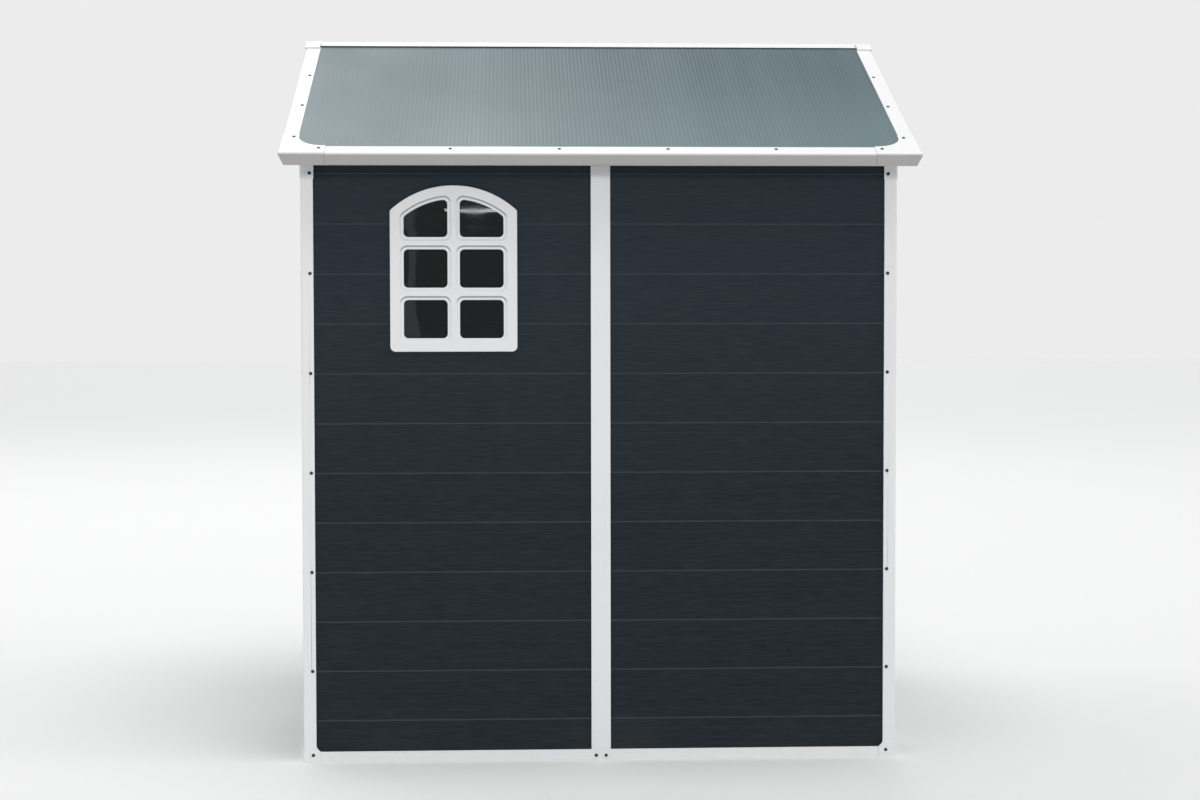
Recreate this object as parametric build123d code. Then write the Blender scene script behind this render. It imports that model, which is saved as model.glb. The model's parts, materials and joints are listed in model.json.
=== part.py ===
from build123d import *
import math
import os

# A gable-roofed garden shed of hollow plastic profiles: white corner posts and
# rails hold dark grooved boards, a twin-wall roof sits on wall plates, and a
# pair of doors closes one gable end. Millimetres, +Z up, ridge along X. The
# origin is on the ground at the middle of the plan. The window side is at -Y,
# the doors are at +X (the front) and the passive door leaf is the one at +Y.

# ---- Overall sizes ----------------------------------------------------------
wall_length = 1800.0  # along the ridge, over the corner posts' outer faces
wall_breadth = 1650.0  # across the ridge, over the same faces
wall_height = 1800.0  # ground to the underside of the top rails
roof_slope = 24.7  # degrees from level
plate_rise = 76.3  # top rail's height at the wall's outer face

# ---- Profiles ---------------------------------------------------------------
post_back = 14.0  # profile behind a board's inner face
post_wall = 3.0
post_corner_radius = 6.0
rail_height = 30.0
tie_height = 38.0  # rails across the two gables, at wall height
joint_post_width = 58.5
board_thickness = 16.0
board_recess = 8.0  # board face behind the post face
board_play = 0.2  # each side of a board in its slot
slot_depth = 12.0
end_play = 1.0  # board end to the bottom of its slot
groove_pitch = 150.0  # one plank
first_groove = 124.0
groove_width = 4.0
groove_depth = 2.0

# ---- Corner connectors ------------------------------------------------------
connector_margin = 2.0  # connector block beyond the post
connector_skin = 2.0  # stands proud of posts and rails
elbow_height = 47.0
elbow_arm_height = 31.5
elbow_chamfer = 11.0
sleeve_drop = 40.0  # top connector's skirt down the post
spigot_length = 40.0
spigot_play = 0.3

# ---- Floor ------------------------------------------------------------------
floor_thickness = 20.0
floor_gap = 2.0
floor_play = 1.0
anchor_inset_x = 200.0  # from the posts' outer faces
anchor_inset_y = 225.0
anchor_hole_radius = 5.5

# ---- Doors ------------------------------------------------------------------
jamb_width = 40.0
side_panel_width = 120.0  # seen between corner post and jamb
frame_depth = 60.0  # door head and sill, measured in from the front
stop_thickness = 7.0
stop_gap = 1.0  # stop lip to the closed leaf
stop_drop = 10.0
leaf_thickness = 30.0
leaf_side_gap = 3.0
leaf_meeting_gap = 3.0
leaf_end_gap = 4.0
stile_width = 50.0
door_rail_height = 60.0
kick_rail_height = 90.0
middle_rail_centre = 899.0
door_board_recess = 7.0

# ---- Hinges -----------------------------------------------------------------
hinge_inset = 200.0  # outer hinges from the leaf's ends
knuckle_radius = 6.0
knuckle_standoff = 0.5
knuckle_height = 24.0
knuckle_gap = 0.5
hinge_plate_thickness = 3.0
hinge_plate_width = 36.0
hinge_plate_gap = 2.0  # plate edge to the edge of jamb or leaf
pin_radius = 3.0
pin_play = 0.08
pin_head_radius = 4.5
pin_head_height = 2.0
swing_degrees = 110.0

# ---- Handle, slide latch and flush bolts ------------------------------------
handle_height = 150.0
handle_centre_z = 1000.0
handle_reach = 34.0
handle_radius = 6.0
handle_foot = 26.0
handle_foot_thickness = 3.0
latch_z = 1190.0
latch_bar_length = 150.0
latch_bar_width = 10.0
latch_bar_height = 14.0
latch_play = 0.3
latch_standoff = 3.0
latch_travel = 55.0
latch_guide_width = 24.0
latch_wall = 3.0
latch_retreat = 6.0  # bar end to the middle of the doorway
latch_guide_inset = 6.0  # straps from the bar's ends
latch_foot = 14.0
latch_keeper_inset = 12.0  # keeper from the passive leaf's edge
latch_knob_radius = 6.0
latch_knob_length = 16.0
latch_knob_room = 4.0  # knob to the strap with the bar shot
bolt_radius = 5.0
bolt_play = 0.15
bolt_length = 180.0
bolt_travel = 30.0
bolt_offset = 15.0  # bolt axis behind the leaf
bolt_guide_size = 20.0
bolt_guide_height = 15.0
bolt_end_gap = 15.0  # retracted top bolt to the head, below its stop lip
bolt_foot_gap = 6.0  # retracted bottom bolt to the sill
bolt_hole_play = 1.0
bolt_hole_room = 2.0  # beyond the shot bolt's end
bolt_guide_inset = 18.5  # from the bolt's ends
bolt_knob_radius = 4.0
bolt_knob_reach = 18.0

# ---- Window -----------------------------------------------------------------
window_width = 382.0
window_height = 500.0
window_drop = 60.0  # top of the arch below the top rail
window_rise = 75.0  # arch above the shoulders
window_offset = 442.0  # from the middle of the wall
window_corner = 16.0
window_shoulder = 10.0
window_proud = 2.0  # frame face beyond the post face
window_edge = 1.0  # chamfer round the frame's face
least_corner = 2.0
frame_border = 41.0
bar_width = 37.0
pane_height = 115.0
pane_corner = 14.0
pane_lip = 7.0
pane_lip_depth = 3.0
window_overlap = 14.0  # frame beyond the cut-out in the boards
inner_frame_thickness = 6.0
glazing_thickness = 3.0

# ---- Roof -------------------------------------------------------------------
eave_overhang = 138.5  # wall face to the eave's outer edge
gable_overhang = 52.5
sheet_thickness = 10.0
sheet_play = 0.5
ridge_gap = 2.0
eave_flange = 56.0
rake_flange = 50.5
edging_wall = 2.5
edging_depth = 33.5  # lip below the sheet's top surface
rake_lean = 15.0  # the gable lips lean in
return_flange = 37.5
corner_along_eave = 137.0
corner_along_rake = 154.0
corner_widening = 3.0
corner_proud = 2.0
corner_radius = 75.0
ridge_cap_width = 38.0
ridge_seal_width = 34.0
ridge_seal_thickness = 3.0
ridge_end_length = 50.0
ridge_end_width = 60.0
ridge_end_proud = 1.5
beam_width = 30.0
beam_depth = 50.0
beam_crown = 12.0  # solid under the beam's bevelled top
bracket_depth = 14.0
bracket_width = 60.0
bracket_drop = 25.0
rafter_width = 25.0
rafter_pitch = 450.0
vent_width = 220.0
vent_height = 140.0
vent_border = 18.0
vent_proud = 4.0
vent_slats = 5
vent_slat_thickness = 4.0
vent_slat_angle = 40.0  # degrees from level
vent_centre_drop = 250.0  # below the ridge

# ---- Screws -----------------------------------------------------------------
screw_head_radius = 5.2
screw_head_height = 2.4
screw_shank_radius = 2.2
post_screw_start = 276.0
post_screw_pitch = 300.0
post_screw_inset = 28.0
base_screw_inset = 29.0
base_screw_z = 21.0
foot_screw_spacing = 30.0
foot_screw_z = 12.0
corner_screw_inset = 118.0  # along the eave from the roof's end
eave_screw_start = -448.0
eave_screw_pitch = 322.0
eave_screw_inset = 20.0
rake_screw_start = 132.0
rake_screw_pitch = 291.0
rake_screw_inset = 13.0
screw_end_room = 20.0

# ---- Sizes that follow ------------------------------------------------------
half_length = wall_length / 2
half_breadth = wall_breadth / 2
post_size = board_recess + board_thickness + post_back  # posts and rails are this deep
connector_block = post_size + connector_margin
elbow_reach = connector_block + elbow_chamfer
slope = math.radians(roof_slope)
slot_width = board_thickness + 2 * board_play
slot_outer = board_recess - board_play
board_inner = board_recess + board_thickness
tongue = slot_depth - end_play
underside_at_wall = wall_height + plate_rise
ridge_underside = underside_at_wall + half_breadth * math.tan(slope)
ridge_top = ridge_underside + sheet_thickness / math.cos(slope)
eave_y = half_breadth + eave_overhang
eave_z = ridge_top - eave_y * math.tan(slope)
slope_length = eave_y / math.cos(slope)
roof_half = half_length + gable_overhang
rail_end_x = half_length - connector_block
rail_end_y = half_breadth - connector_block
door_half = half_breadth - post_size - side_panel_width - jamb_width
leaf_inner = half_length - leaf_thickness
leaf_low = rail_height + leaf_end_gap
leaf_high = wall_height - leaf_end_gap
leaf_hinge_edge = door_half - leaf_side_gap
leaf_meeting_edge = leaf_meeting_gap / 2
hinge_x = half_length + knuckle_radius + knuckle_standoff
window_top = wall_height - window_drop
window_sill = window_top - window_height
arch_radius = ((window_width / 2) ** 2 + window_rise**2) / (2 * window_rise)
shank_depth = board_recess
bolt_y = leaf_meeting_edge + stile_width / 2
bolt_x = leaf_inner - bolt_offset
hinge_low, hinge_high = leaf_low + hinge_inset, leaf_high - hinge_inset
hinge_heights = (hinge_low, (hinge_low + hinge_high) / 2, hinge_high)
anchor_x = half_length - anchor_inset_x
anchor_y = half_breadth - anchor_inset_y

# The roof plane above the window side: X along the eave, Y up the slope from
# the eave's outer edge and Z away from the sheet's top surface.
roof_plane = Plane(
    origin=(0, -eave_y, eave_z),
    x_dir=(1, 0, 0),
    z_dir=(0, -math.sin(slope), math.cos(slope)),
)


# ---- Building blocks --------------------------------------------------------
def block(low, high):
    """A box between two opposite corners."""
    size = [b - a for a, b in zip(low, high)]
    centre = [(a + b) / 2 for a, b in zip(low, high)]
    return Pos(*centre) * Box(*size)


def sweep_x(points, start, end):
    """An outline of (y, z) points swept along X."""
    face = make_face(Plane.YZ.offset(start) * Polyline(*points, close=True))
    return extrude(face, amount=end - start, dir=(1, 0, 0))


def sweep_y(points, start, end):
    """An outline of (x, z) points swept along Y."""
    face = make_face(Plane.XZ.offset(-start) * Polyline(*points, close=True))
    return extrude(face, amount=end - start, dir=(0, 1, 0))


def sweep_z(points, start, end):
    """An outline of (x, y) points swept along Z."""
    face = make_face(Plane.XY.offset(start) * Polyline(*points, close=True))
    return extrude(face, amount=end - start, dir=(0, 0, 1))


def rod(centre, radius, length, axis="Z"):
    """A round bar centred on a point, along X, Y or Z."""
    turn = {"X": Rot(0, 90, 0), "Y": Rot(90, 0, 0), "Z": Rot(0, 0, 0)}[axis]
    return Pos(*centre) * turn * Cylinder(radius, length)


def across(shape):
    """The shape's mirror image on the other side of the ridge."""
    return mirror(shape, about=Plane.XZ)


def endways(shape):
    """The shape's mirror image at the other end of the shed."""
    return mirror(shape, about=Plane.YZ)


def group(shapes):
    """Separate solids of one sub-part, none joined to another."""
    solids = [solid for shape in shapes for solid in shape.solids()]
    return Compound(children=solids)


def fused(shapes):
    """One solid from shapes that meet."""
    result = shapes[0]
    for shape in shapes[1:]:
        result = result + shape
    return result


def underside(y):
    """Height of the roof sheets' lower surface."""
    return ridge_underside - abs(y) * math.tan(slope)


def above_roof():
    """Everything above the roof sheets' lower surface."""
    reach = eave_y + connector_block
    return sweep_x(
        [
            (-reach, underside(reach)),
            (0, ridge_underside),
            (reach, underside(reach)),
            (reach, ridge_top + roof_half),
            (-reach, ridge_top + roof_half),
        ],
        -roof_half - connector_block,
        roof_half + connector_block,
    )


def places(start, pitch, limit):
    """Evenly spaced places from start, none past the limit."""
    return [start + step * pitch for step in range(int((limit - start) / pitch) + 1)]


def save(shape, name):
    export_step(shape, f"parts/{name}.step")


# ---- Grooved boards ---------------------------------------------------------
def board_outline(low, high, outer):
    """A grooved board's section, as (depth, z) points from its outer face."""
    points = [(outer + board_thickness, high), (outer + board_thickness, low), (outer, low)]
    count = math.ceil((high - first_groove) / groove_pitch)
    for step in range(count + 1):
        z = first_groove + step * groove_pitch
        if low + groove_width < z < high - groove_width:
            points.append((outer, z - groove_width / 2))
            points.append((outer + groove_depth, z))
            points.append((outer, z + groove_width / 2))
    return points + [(outer, high)]


def side_boards(start, end, low, high):
    """A grooved board of the window side's wall, from one X to another."""
    section = [(depth - half_breadth, z) for depth, z in board_outline(low, high, board_recess)]
    return sweep_x(section, start, end)


def front_boards(start, end, low, high, outer=board_recess):
    """A grooved board of the front gable, from one Y to another."""
    section = [(half_length - depth, z) for depth, z in board_outline(low, high, outer)]
    return sweep_y(section, start, end)


board_low = rail_height - slot_depth
board_high = wall_height + tongue
board_corner_x = half_length - post_size + tongue
board_corner_y = half_breadth - post_size + tongue
board_joint = joint_post_width / 2 - tongue


# ---- Corner posts -----------------------------------------------------------
def corner_post():
    """The rear post of the window side: a square tube with two board slots."""
    outer_edge = -half_length, -half_breadth
    tube = block((0, 0, rail_height), (post_size, post_size, wall_height))
    edge = tube.edges().filter_by(Axis.Z).sort_by(lambda e: e.center().X + e.center().Y)[0]
    tube = fillet(edge, post_corner_radius)
    hollow_end = post_size - slot_depth - post_wall
    hollow = block(
        (post_wall, post_wall, 0), (hollow_end, hollow_end, wall_height + rail_height)
    )
    slot_start = post_size - slot_depth
    slot_along_x = block(
        (slot_start, slot_outer, 0), (post_size + 1, slot_outer + slot_width, 2 * wall_height)
    )
    slot_along_y = block(
        (slot_outer, slot_start, 0), (slot_outer + slot_width, post_size + 1, 2 * wall_height)
    )
    post = Pos(*outer_edge, 0) * (tube - hollow - slot_along_x - slot_along_y)
    for x, y, z, axis in corner_screws():
        post = post - rod((x, y, z), screw_shank_radius, 2 * shank_depth, axis)
    return post


def corner_screws():
    """Places of the board screws in the rear post of the window side."""
    screws = []
    for z in places(post_screw_start, post_screw_pitch, wall_height - screw_end_room):
        screws.append((-half_length + post_screw_inset, -half_breadth, z, "Y"))
        screws.append((-half_length, -half_breadth + post_screw_inset, z, "X"))
    return screws


def joint_post():
    """The post between the two boards of the window side, with a slot each way."""
    half = joint_post_width / 2
    face = -half_breadth
    tube = block((-half, face, rail_height), (half, face + post_size, wall_height))
    hollow_half = half - slot_depth - post_wall
    hollow = block(
        (-hollow_half, face + post_wall, 0),
        (hollow_half, face + post_size - post_wall, 2 * wall_height),
    )
    slot = block(
        (half - slot_depth, face + slot_outer, 0),
        (half + 1, face + slot_outer + slot_width, 2 * wall_height),
    )
    return tube - hollow - slot - endways(slot)


# ---- Rails ------------------------------------------------------------------
def slot_cut(start, end, low, high):
    """The room for a board's edge in a rail of the window side."""
    return block(
        (start, -half_breadth + slot_outer, low),
        (end, -half_breadth + slot_outer + slot_width, high),
    )


def base_rail():
    """The ground rail of the window side, slotted along its top."""
    face = -half_breadth
    rail = block((-rail_end_x, face, 0), (rail_end_x, face + post_size, rail_height))
    rail = rail - slot_cut(-wall_length, wall_length, rail_height - slot_depth, wall_height)
    for x in (-foot_screw_spacing / 2, foot_screw_spacing / 2):
        rail = rail - rod((x, face, foot_screw_z), screw_shank_radius, 2 * shank_depth, "Y")
    return rail


def rear_base_rail():
    """The ground rail of the rear gable."""
    face = -half_length
    rail = block((face, -rail_end_y, 0), (face + post_size, rail_end_y, rail_height))
    slot = block(
        (face + slot_outer, -wall_breadth, rail_height - slot_depth),
        (face + slot_outer + slot_width, wall_breadth, wall_height),
    )
    rail = rail - slot
    for y in (-foot_screw_spacing / 2, foot_screw_spacing / 2):
        rail = rail - rod((face, y, foot_screw_z), screw_shank_radius, 2 * shank_depth, "X")
    return rail


def wall_plate():
    """The window side's top rail, slotted below and bevelled to the roof."""
    face = -half_breadth
    plate = block(
        (-rail_end_x, face, wall_height), (rail_end_x, face + post_size, ridge_underside)
    )
    plate = plate - slot_cut(-wall_length, wall_length, 0, wall_height + slot_depth)
    return plate - above_roof()


def front_slot(start, end, low, high):
    """The room for a board's edge in a rail of the front gable."""
    outer = half_length - slot_outer
    return block((outer - slot_width, start, low), (outer, end, high))


def rear_tie_rail():
    """The rail across the rear gable, with a board slot below and above."""
    rail = block(
        (half_length - post_size, -rail_end_y, wall_height),
        (half_length, rail_end_y, wall_height + tie_height),
    )
    rail = rail - front_slot(-wall_breadth, wall_breadth, 0, wall_height + slot_depth)
    top = wall_height + tie_height
    rail = rail - front_slot(-wall_breadth, wall_breadth, top - slot_depth, top + 1)
    return endways(rail)


def side_slots(low, high):
    """Slots for the two narrow boards beside the doors."""
    slot = front_slot(door_half + jamb_width - slot_depth, wall_breadth, low, high)
    return slot + across(slot)


def door_sill():
    """The threshold across the front, with the bottom bolt's hole."""
    sill = block(
        (half_length - frame_depth, -rail_end_y, 0), (half_length, rail_end_y, rail_height)
    )
    sill = sill - side_slots(rail_height - slot_depth, wall_height)
    depth = bolt_travel - bolt_foot_gap + bolt_hole_room
    hole = rod((bolt_x, bolt_y, rail_height), bolt_radius + bolt_hole_play, 2 * depth)
    return sill - corner_relief() - hole


def corner_relief():
    """Room for the corner connectors at a deep rail's inner corners."""
    inner = half_length - connector_block
    relief = block((inner - wall_breadth, rail_end_y, -1), (inner, wall_breadth, ridge_top))
    return relief + across(relief)


def door_head():
    """The rail over the doors, with a stop lip and the top bolt's hole."""
    inner = half_length - frame_depth
    top = wall_height + tie_height
    head = block((inner, -rail_end_y, wall_height), (half_length, rail_end_y, top))
    lip_outer = leaf_inner - stop_gap
    lip = block(
        (lip_outer - stop_thickness, -door_half, wall_height - stop_drop),
        (lip_outer, door_half, wall_height),
    )
    head = head + lip
    head = head - side_slots(0, wall_height + slot_depth)
    head = head - front_slot(-wall_breadth, wall_breadth, top - slot_depth, top + 1)
    depth = bolt_travel - bolt_end_gap + bolt_hole_room
    hole = rod((bolt_x, bolt_y, wall_height), bolt_radius + bolt_hole_play, 2 * depth)
    return head - hole


def door_jamb():
    """The post beside the doors on the +Y side, slotted for the narrow board."""
    jamb = block(
        (half_length - post_size, door_half, rail_height),
        (half_length, door_half + jamb_width, wall_height),
    )
    slot = front_slot(
        door_half + jamb_width - slot_depth, wall_breadth, 0, 2 * wall_height
    )
    hollow = block(
        (half_length - post_size + post_wall, door_half + post_wall, 0),
        (
            half_length - post_wall,
            door_half + jamb_width - slot_depth - post_wall,
            2 * wall_height,
        ),
    )
    return jamb - slot - hollow


# ---- Corner connectors ------------------------------------------------------
def skin(height, reach, low):
    """Two thin walls wrapped round a corner's outer faces, edge rounded."""
    outer = block((-connector_skin, -connector_skin, low), (reach, reach, low + height))
    edge = outer.edges().filter_by(Axis.Z).sort_by(lambda e: e.center().X + e.center().Y)[0]
    outer = fillet(edge, post_corner_radius + connector_skin)
    inner = block((0, 0, low - 1), (reach + 1, reach + 1, low + height + 1))
    edge = inner.edges().filter_by(Axis.Z).sort_by(lambda e: e.center().X + e.center().Y)[0]
    return outer - fillet(edge, post_corner_radius)


def core(low, high):
    """The block between two rails under or over a corner post."""
    solid = block((0, 0, low), (connector_block, connector_block, high))
    edge = solid.edges().filter_by(Axis.Z).sort_by(lambda e: e.center().X + e.center().Y)[0]
    return fillet(edge, post_corner_radius)


def board_ends(low, high):
    """Room in a corner connector for the ends of the two walls' boards."""
    start = post_size - slot_depth
    beyond = elbow_reach + 1
    along_x = block((start, slot_outer, low), (beyond, slot_outer + slot_width, high))
    along_y = block((slot_outer, start, low), (slot_outer + slot_width, beyond, high))
    return along_x + along_y


def spigot(low, high):
    """The plug in a corner post's hollow."""
    start = post_wall + spigot_play
    end = post_size - slot_depth - post_wall - spigot_play
    return block((start, start, low), (end, end, high))


def base_connector():
    """The ground elbow at the rear corner of the window side."""
    elbow = skin(elbow_height, elbow_reach, 0)
    beyond = elbow_reach + 1
    shoulder = connector_block
    cut = [
        (shoulder, elbow_height + 1),
        (shoulder, elbow_arm_height + elbow_chamfer),
        (shoulder + elbow_chamfer, elbow_arm_height),
        (beyond, elbow_arm_height),
        (beyond, elbow_height + 1),
    ]
    elbow = elbow - sweep_y(cut, -connector_skin - 1, 1) - sweep_x(cut, -connector_skin - 1, 1)
    solid = elbow + core(0, rail_height) - board_ends(rail_height - slot_depth, wall_height)
    solid = solid + spigot(rail_height, rail_height + spigot_length)
    solid = Pos(-half_length, -half_breadth, 0) * solid
    for x, y, z, axis in base_screws():
        solid = solid - rod((x, y, z), screw_shank_radius, 2 * shank_depth, axis)
    return solid


def base_screws():
    """Screws through the ground elbow at the rear corner of the window side."""
    face_x = -half_length - connector_skin
    face_y = -half_breadth - connector_skin
    return [
        (-half_length + base_screw_inset, face_y, base_screw_z, "Y"),
        (face_x, -half_breadth + base_screw_inset, base_screw_z, "X"),
    ]


def top_connector():
    """The cap over the rear post of the window side, under the roof."""
    low = wall_height - sleeve_drop
    tall = ridge_top - low
    solid = skin(tall, connector_block, low) + core(wall_height, ridge_top)
    solid = solid - board_ends(low, wall_height + slot_depth)
    solid = solid + spigot(wall_height - spigot_length, wall_height)
    solid = Pos(-half_length, -half_breadth, 0) * solid
    for x, y, z, axis in corner_screws():
        if z + screw_head_radius > low:
            solid = solid - rod((x, y, z), screw_shank_radius, 2 * shank_depth, axis)
    return solid - above_roof()


def at_corners(shape):
    """A corner piece of the window side's rear, repeated at all four corners."""
    return [shape, endways(shape), across(shape), across(endways(shape))]


# ---- Floor ------------------------------------------------------------------
def floor_panels():
    """Two floor boards inside the rails, each with two anchor holes."""
    low_x = -half_length + connector_block + floor_play
    high_x = half_length - frame_depth - floor_play
    half_y = half_breadth - connector_block - floor_play
    panels = [
        block((low_x, -half_y, 0), (-floor_gap / 2, half_y, floor_thickness)),
        block((floor_gap / 2, -half_y, 0), (high_x, half_y, floor_thickness)),
    ]
    for x in (-anchor_x, anchor_x):
        for y in (-anchor_y, anchor_y):
            hole = rod((x, y, 0), anchor_hole_radius, 3 * floor_thickness)
            panels = [panel - hole for panel in panels]
    return panels


# ---- Gables -----------------------------------------------------------------
def gable_panel():
    """The front gable's grooved triangle, with a vent's cut-out."""
    low = wall_height + tie_height - slot_depth
    boards = front_boards(-rail_end_y + 1, rail_end_y - 1, low, ridge_underside)
    panel = boards - Pos(0, 0, -board_play) * above_roof()
    half_w = vent_width / 2 - vent_border / 2
    half_h = vent_height / 2 - vent_border / 2
    z = ridge_top - vent_centre_drop
    return panel - block((0, -half_w, z - half_h), (wall_length, half_w, z + half_h))


def gable_vent():
    """The front gable's louvred vent: a flanged frame with slanting slats."""
    z = ridge_top - vent_centre_drop
    face = half_length - board_recess
    back = face - board_thickness
    half_w, half_h = vent_width / 2, vent_height / 2
    flange = block((face, -half_w, z - half_h), (face + vent_proud, half_w, z + half_h))
    edges = flange.edges().filter_by(Axis.X)
    flange = fillet(edges, vent_border / 2)
    body_w = half_w - vent_border / 2 - board_play
    body_h = half_h - vent_border / 2 - board_play
    body = block((back, -body_w, z - body_h), (face, body_w, z + body_h))
    open_w, open_h = half_w - vent_border, half_h - vent_border
    opening = block(
        (back - 1, -open_w, z - open_h), (face + vent_proud + 1, open_w, z + open_h)
    )
    frame = flange + body - opening
    pitch = 2 * open_h / vent_slats
    fall = (board_thickness + vent_proud) * math.tan(math.radians(vent_slat_angle))
    slats = []
    for step in range(vent_slats + 1):
        low = z - open_h + step * pitch - fall / 2
        outline = [
            (face + vent_proud - 1, low),
            (face + vent_proud - 1, low + vent_slat_thickness),
            (back + 1, low + fall + vent_slat_thickness),
            (back + 1, low + fall),
        ]
        slats.append(sweep_y(outline, -open_w - 1, open_w + 1))
    reach = block((back, -body_w, z - body_h), (face + vent_proud, body_w, z + body_h))
    return frame + fused(slats) & reach + frame


# ---- Window -----------------------------------------------------------------
def window_outline(inset, plane):
    """The arched outline, drawn in from the frame's outer edge."""
    half = window_width / 2 - inset
    low = window_sill + inset
    radius = arch_radius - inset
    centre_z = window_top - arch_radius
    shoulder = centre_z + math.sqrt(radius**2 - half**2)
    top = centre_z + radius
    x = -window_offset
    lines = [
        Line((x - half, shoulder), (x - half, low)),
        Line((x - half, low), (x + half, low)),
        Line((x + half, low), (x + half, shoulder)),
        ThreePointArc((x + half, shoulder), (x, top), (x - half, shoulder)),
    ]
    return plane * make_face(Curve() + lines)


def rounded_window(inset, depth_from, depth_to):
    """A slab of the arched outline between two depths behind the wall's face."""
    plane = Plane.XZ.offset(half_breadth - depth_to)
    slab = extrude(window_outline(inset, plane), amount=depth_to - depth_from)
    upright = slab.edges().filter_by(Axis.Y).sort_by(Axis.Z)
    slab = fillet(upright[:2], max(window_corner - inset / 2, least_corner))
    upright = slab.edges().filter_by(Axis.Y).sort_by(Axis.Z)
    return fillet(upright[-2:], max(window_shoulder - inset / 4, least_corner))


def pane(column, row, grow, depth_from, depth_to):
    """The room of one pane: column -1 or 1, row 0 to 2 from the bottom."""
    inner = bar_width / 2 - grow
    outer = window_width / 2 - frame_border + grow
    low = window_sill + frame_border + row * (pane_height + bar_width) - grow
    sides = sorted((column * inner, column * outer))
    high = low + pane_height + 2 * grow if row < 2 else window_top
    room = block(
        (sides[0] - window_offset, -half_breadth + depth_from, low),
        (sides[1] - window_offset, -half_breadth + depth_to, high),
    )
    if row == 2:
        plane = Plane.XZ.offset(half_breadth - depth_to)
        arch = extrude(
            window_outline(frame_border - grow, plane), amount=depth_to - depth_from
        )
        room = room & arch
    return fillet(room.edges().filter_by(Axis.Y), pane_corner + grow / 2)


def window_bars(shape, depth_from, depth_to):
    """A window slab with the panes cut through and their lips stepped down."""
    for column in (-1, 1):
        for row in range(3):
            shape = shape - pane(column, row, 0, depth_from - 1, depth_to + 1)
            lip_end = depth_from + pane_lip_depth
            shape = shape - pane(column, row, pane_lip, depth_from - 1, lip_end)
    return shape


def window_outer_frame():
    """The barred frame on the outside of the boards."""
    slab = rounded_window(0, -window_proud, board_recess)
    front = slab.faces().sort_by(Axis.Y)[0]
    slab = chamfer(front.edges(), window_edge)
    return window_bars(slab, -window_proud, board_recess)


def window_glazing():
    """The clear sheet in the boards' cut-out, behind the bars."""
    inset = window_overlap + board_play
    return rounded_window(inset, board_recess, board_recess + glazing_thickness)


def window_inner_frame():
    """The ring on the inside that clamps the glazing."""
    plug_start = board_recess + glazing_thickness
    plug = rounded_window(window_overlap + board_play, plug_start, board_inner)
    flange = rounded_window(0, board_inner, board_inner + inner_frame_thickness)
    opening = rounded_window(frame_border, 0, board_inner + 2 * inner_frame_thickness)
    return plug + flange - opening


def window_panel():
    """The rear boards of the window side, with the arched cut-out."""
    boards = side_boards(-board_corner_x, -board_joint, board_low, board_high)
    return boards - rounded_window(window_overlap, 0, board_inner + board_thickness)


# ---- Roof -------------------------------------------------------------------
inner_limit = roof_half - corner_along_eave - screw_end_room
rake_limit = slope_length - ridge_end_width - screw_end_room
corner_screw_x = roof_half - corner_screw_inset
eave_screws = places(eave_screw_start, eave_screw_pitch, inner_limit)
rake_screws = places(rake_screw_start, rake_screw_pitch, rake_limit)
rake_screw_x = roof_half - rake_flange + rake_screw_inset


def slope_point(along, lift):
    """The (y, z) place up the window side's slope and above its sheet."""
    y = -eave_y + along * math.cos(slope) - lift * math.sin(slope)
    z = eave_z + along * math.sin(slope) + lift * math.cos(slope)
    return y, z


def ridge_height(lift):
    """Height at the ridge of a plane laid above the sheets."""
    return ridge_top + lift / math.cos(slope)


def roof_sheet():
    """The window side's sheet, from inside the eave lip to the ridge."""
    start = edging_wall + sheet_play
    edge = ridge_gap / 2
    drop = edge * math.tan(slope)
    outline = [
        slope_point(start, -sheet_thickness),
        slope_point(start, 0),
        (-edge, ridge_top - drop),
        (-edge, ridge_underside - drop),
    ]
    half = sheet_half_length()
    return sweep_x(outline, -half, half)


def lean_at(lift):
    """How far in the gable lip's outer face stands at a height off the sheet."""
    return rake_lean * (edging_wall - lift) / (edging_wall + edging_depth)


def sheet_half_length():
    """Half the sheets' length, inside the leaning gable lips."""
    return roof_half - lean_at(-sheet_thickness) - edging_wall - sheet_play - 1


def eave_strip():
    """The window side's eave channel: flange above, lip, return below."""
    end = roof_half - corner_along_eave
    below = -sheet_thickness - edging_wall
    section = [
        (0, edging_wall),
        (0, -edging_depth),
        (edging_wall, -edging_depth),
        (edging_wall, below),
        (edging_wall + return_flange, below),
        (edging_wall + return_flange, -sheet_thickness),
        (edging_wall, -sheet_thickness),
        (edging_wall, 0),
        (eave_flange, 0),
        (eave_flange, edging_wall),
    ]
    strip = sweep_x([slope_point(*point) for point in section], -end, end)
    for x in eave_screws:
        strip = strip - roof_hole(x, eave_flange - eave_screw_inset)
    return strip


def roof_hole(x, along):
    """A screw hole square to the roof, through the edging above the sheet."""
    hole = Cylinder(screw_shank_radius, 2 * sheet_thickness)
    return roof_plane * Pos(x, along, sheet_thickness) * hole


def rake_section(grow):
    """The front rake's section as (x, lift) points; grow thickens it outwards."""
    outer = roof_half + grow
    top = edging_wall + grow
    foot = -edging_depth - grow
    wall = edging_wall + grow
    below = -sheet_thickness - edging_wall
    inner_top = roof_half - lean_at(0) - edging_wall
    inner_sheet = roof_half - lean_at(-sheet_thickness) - edging_wall
    inner_below = roof_half - lean_at(below) - edging_wall
    inner_foot = roof_half - rake_lean - edging_wall
    return [
        (outer, top),
        (outer - rake_lean * (top - foot) / (edging_wall + edging_depth), foot),
        (inner_foot, foot),
        (inner_below, below),
        (roof_half - edging_wall - return_flange, below),
        (roof_half - edging_wall - return_flange, -sheet_thickness),
        (inner_sheet, -sheet_thickness),
        (inner_top, 0),
        (roof_half - rake_flange, 0),
        (roof_half - rake_flange, top),
    ]


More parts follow.
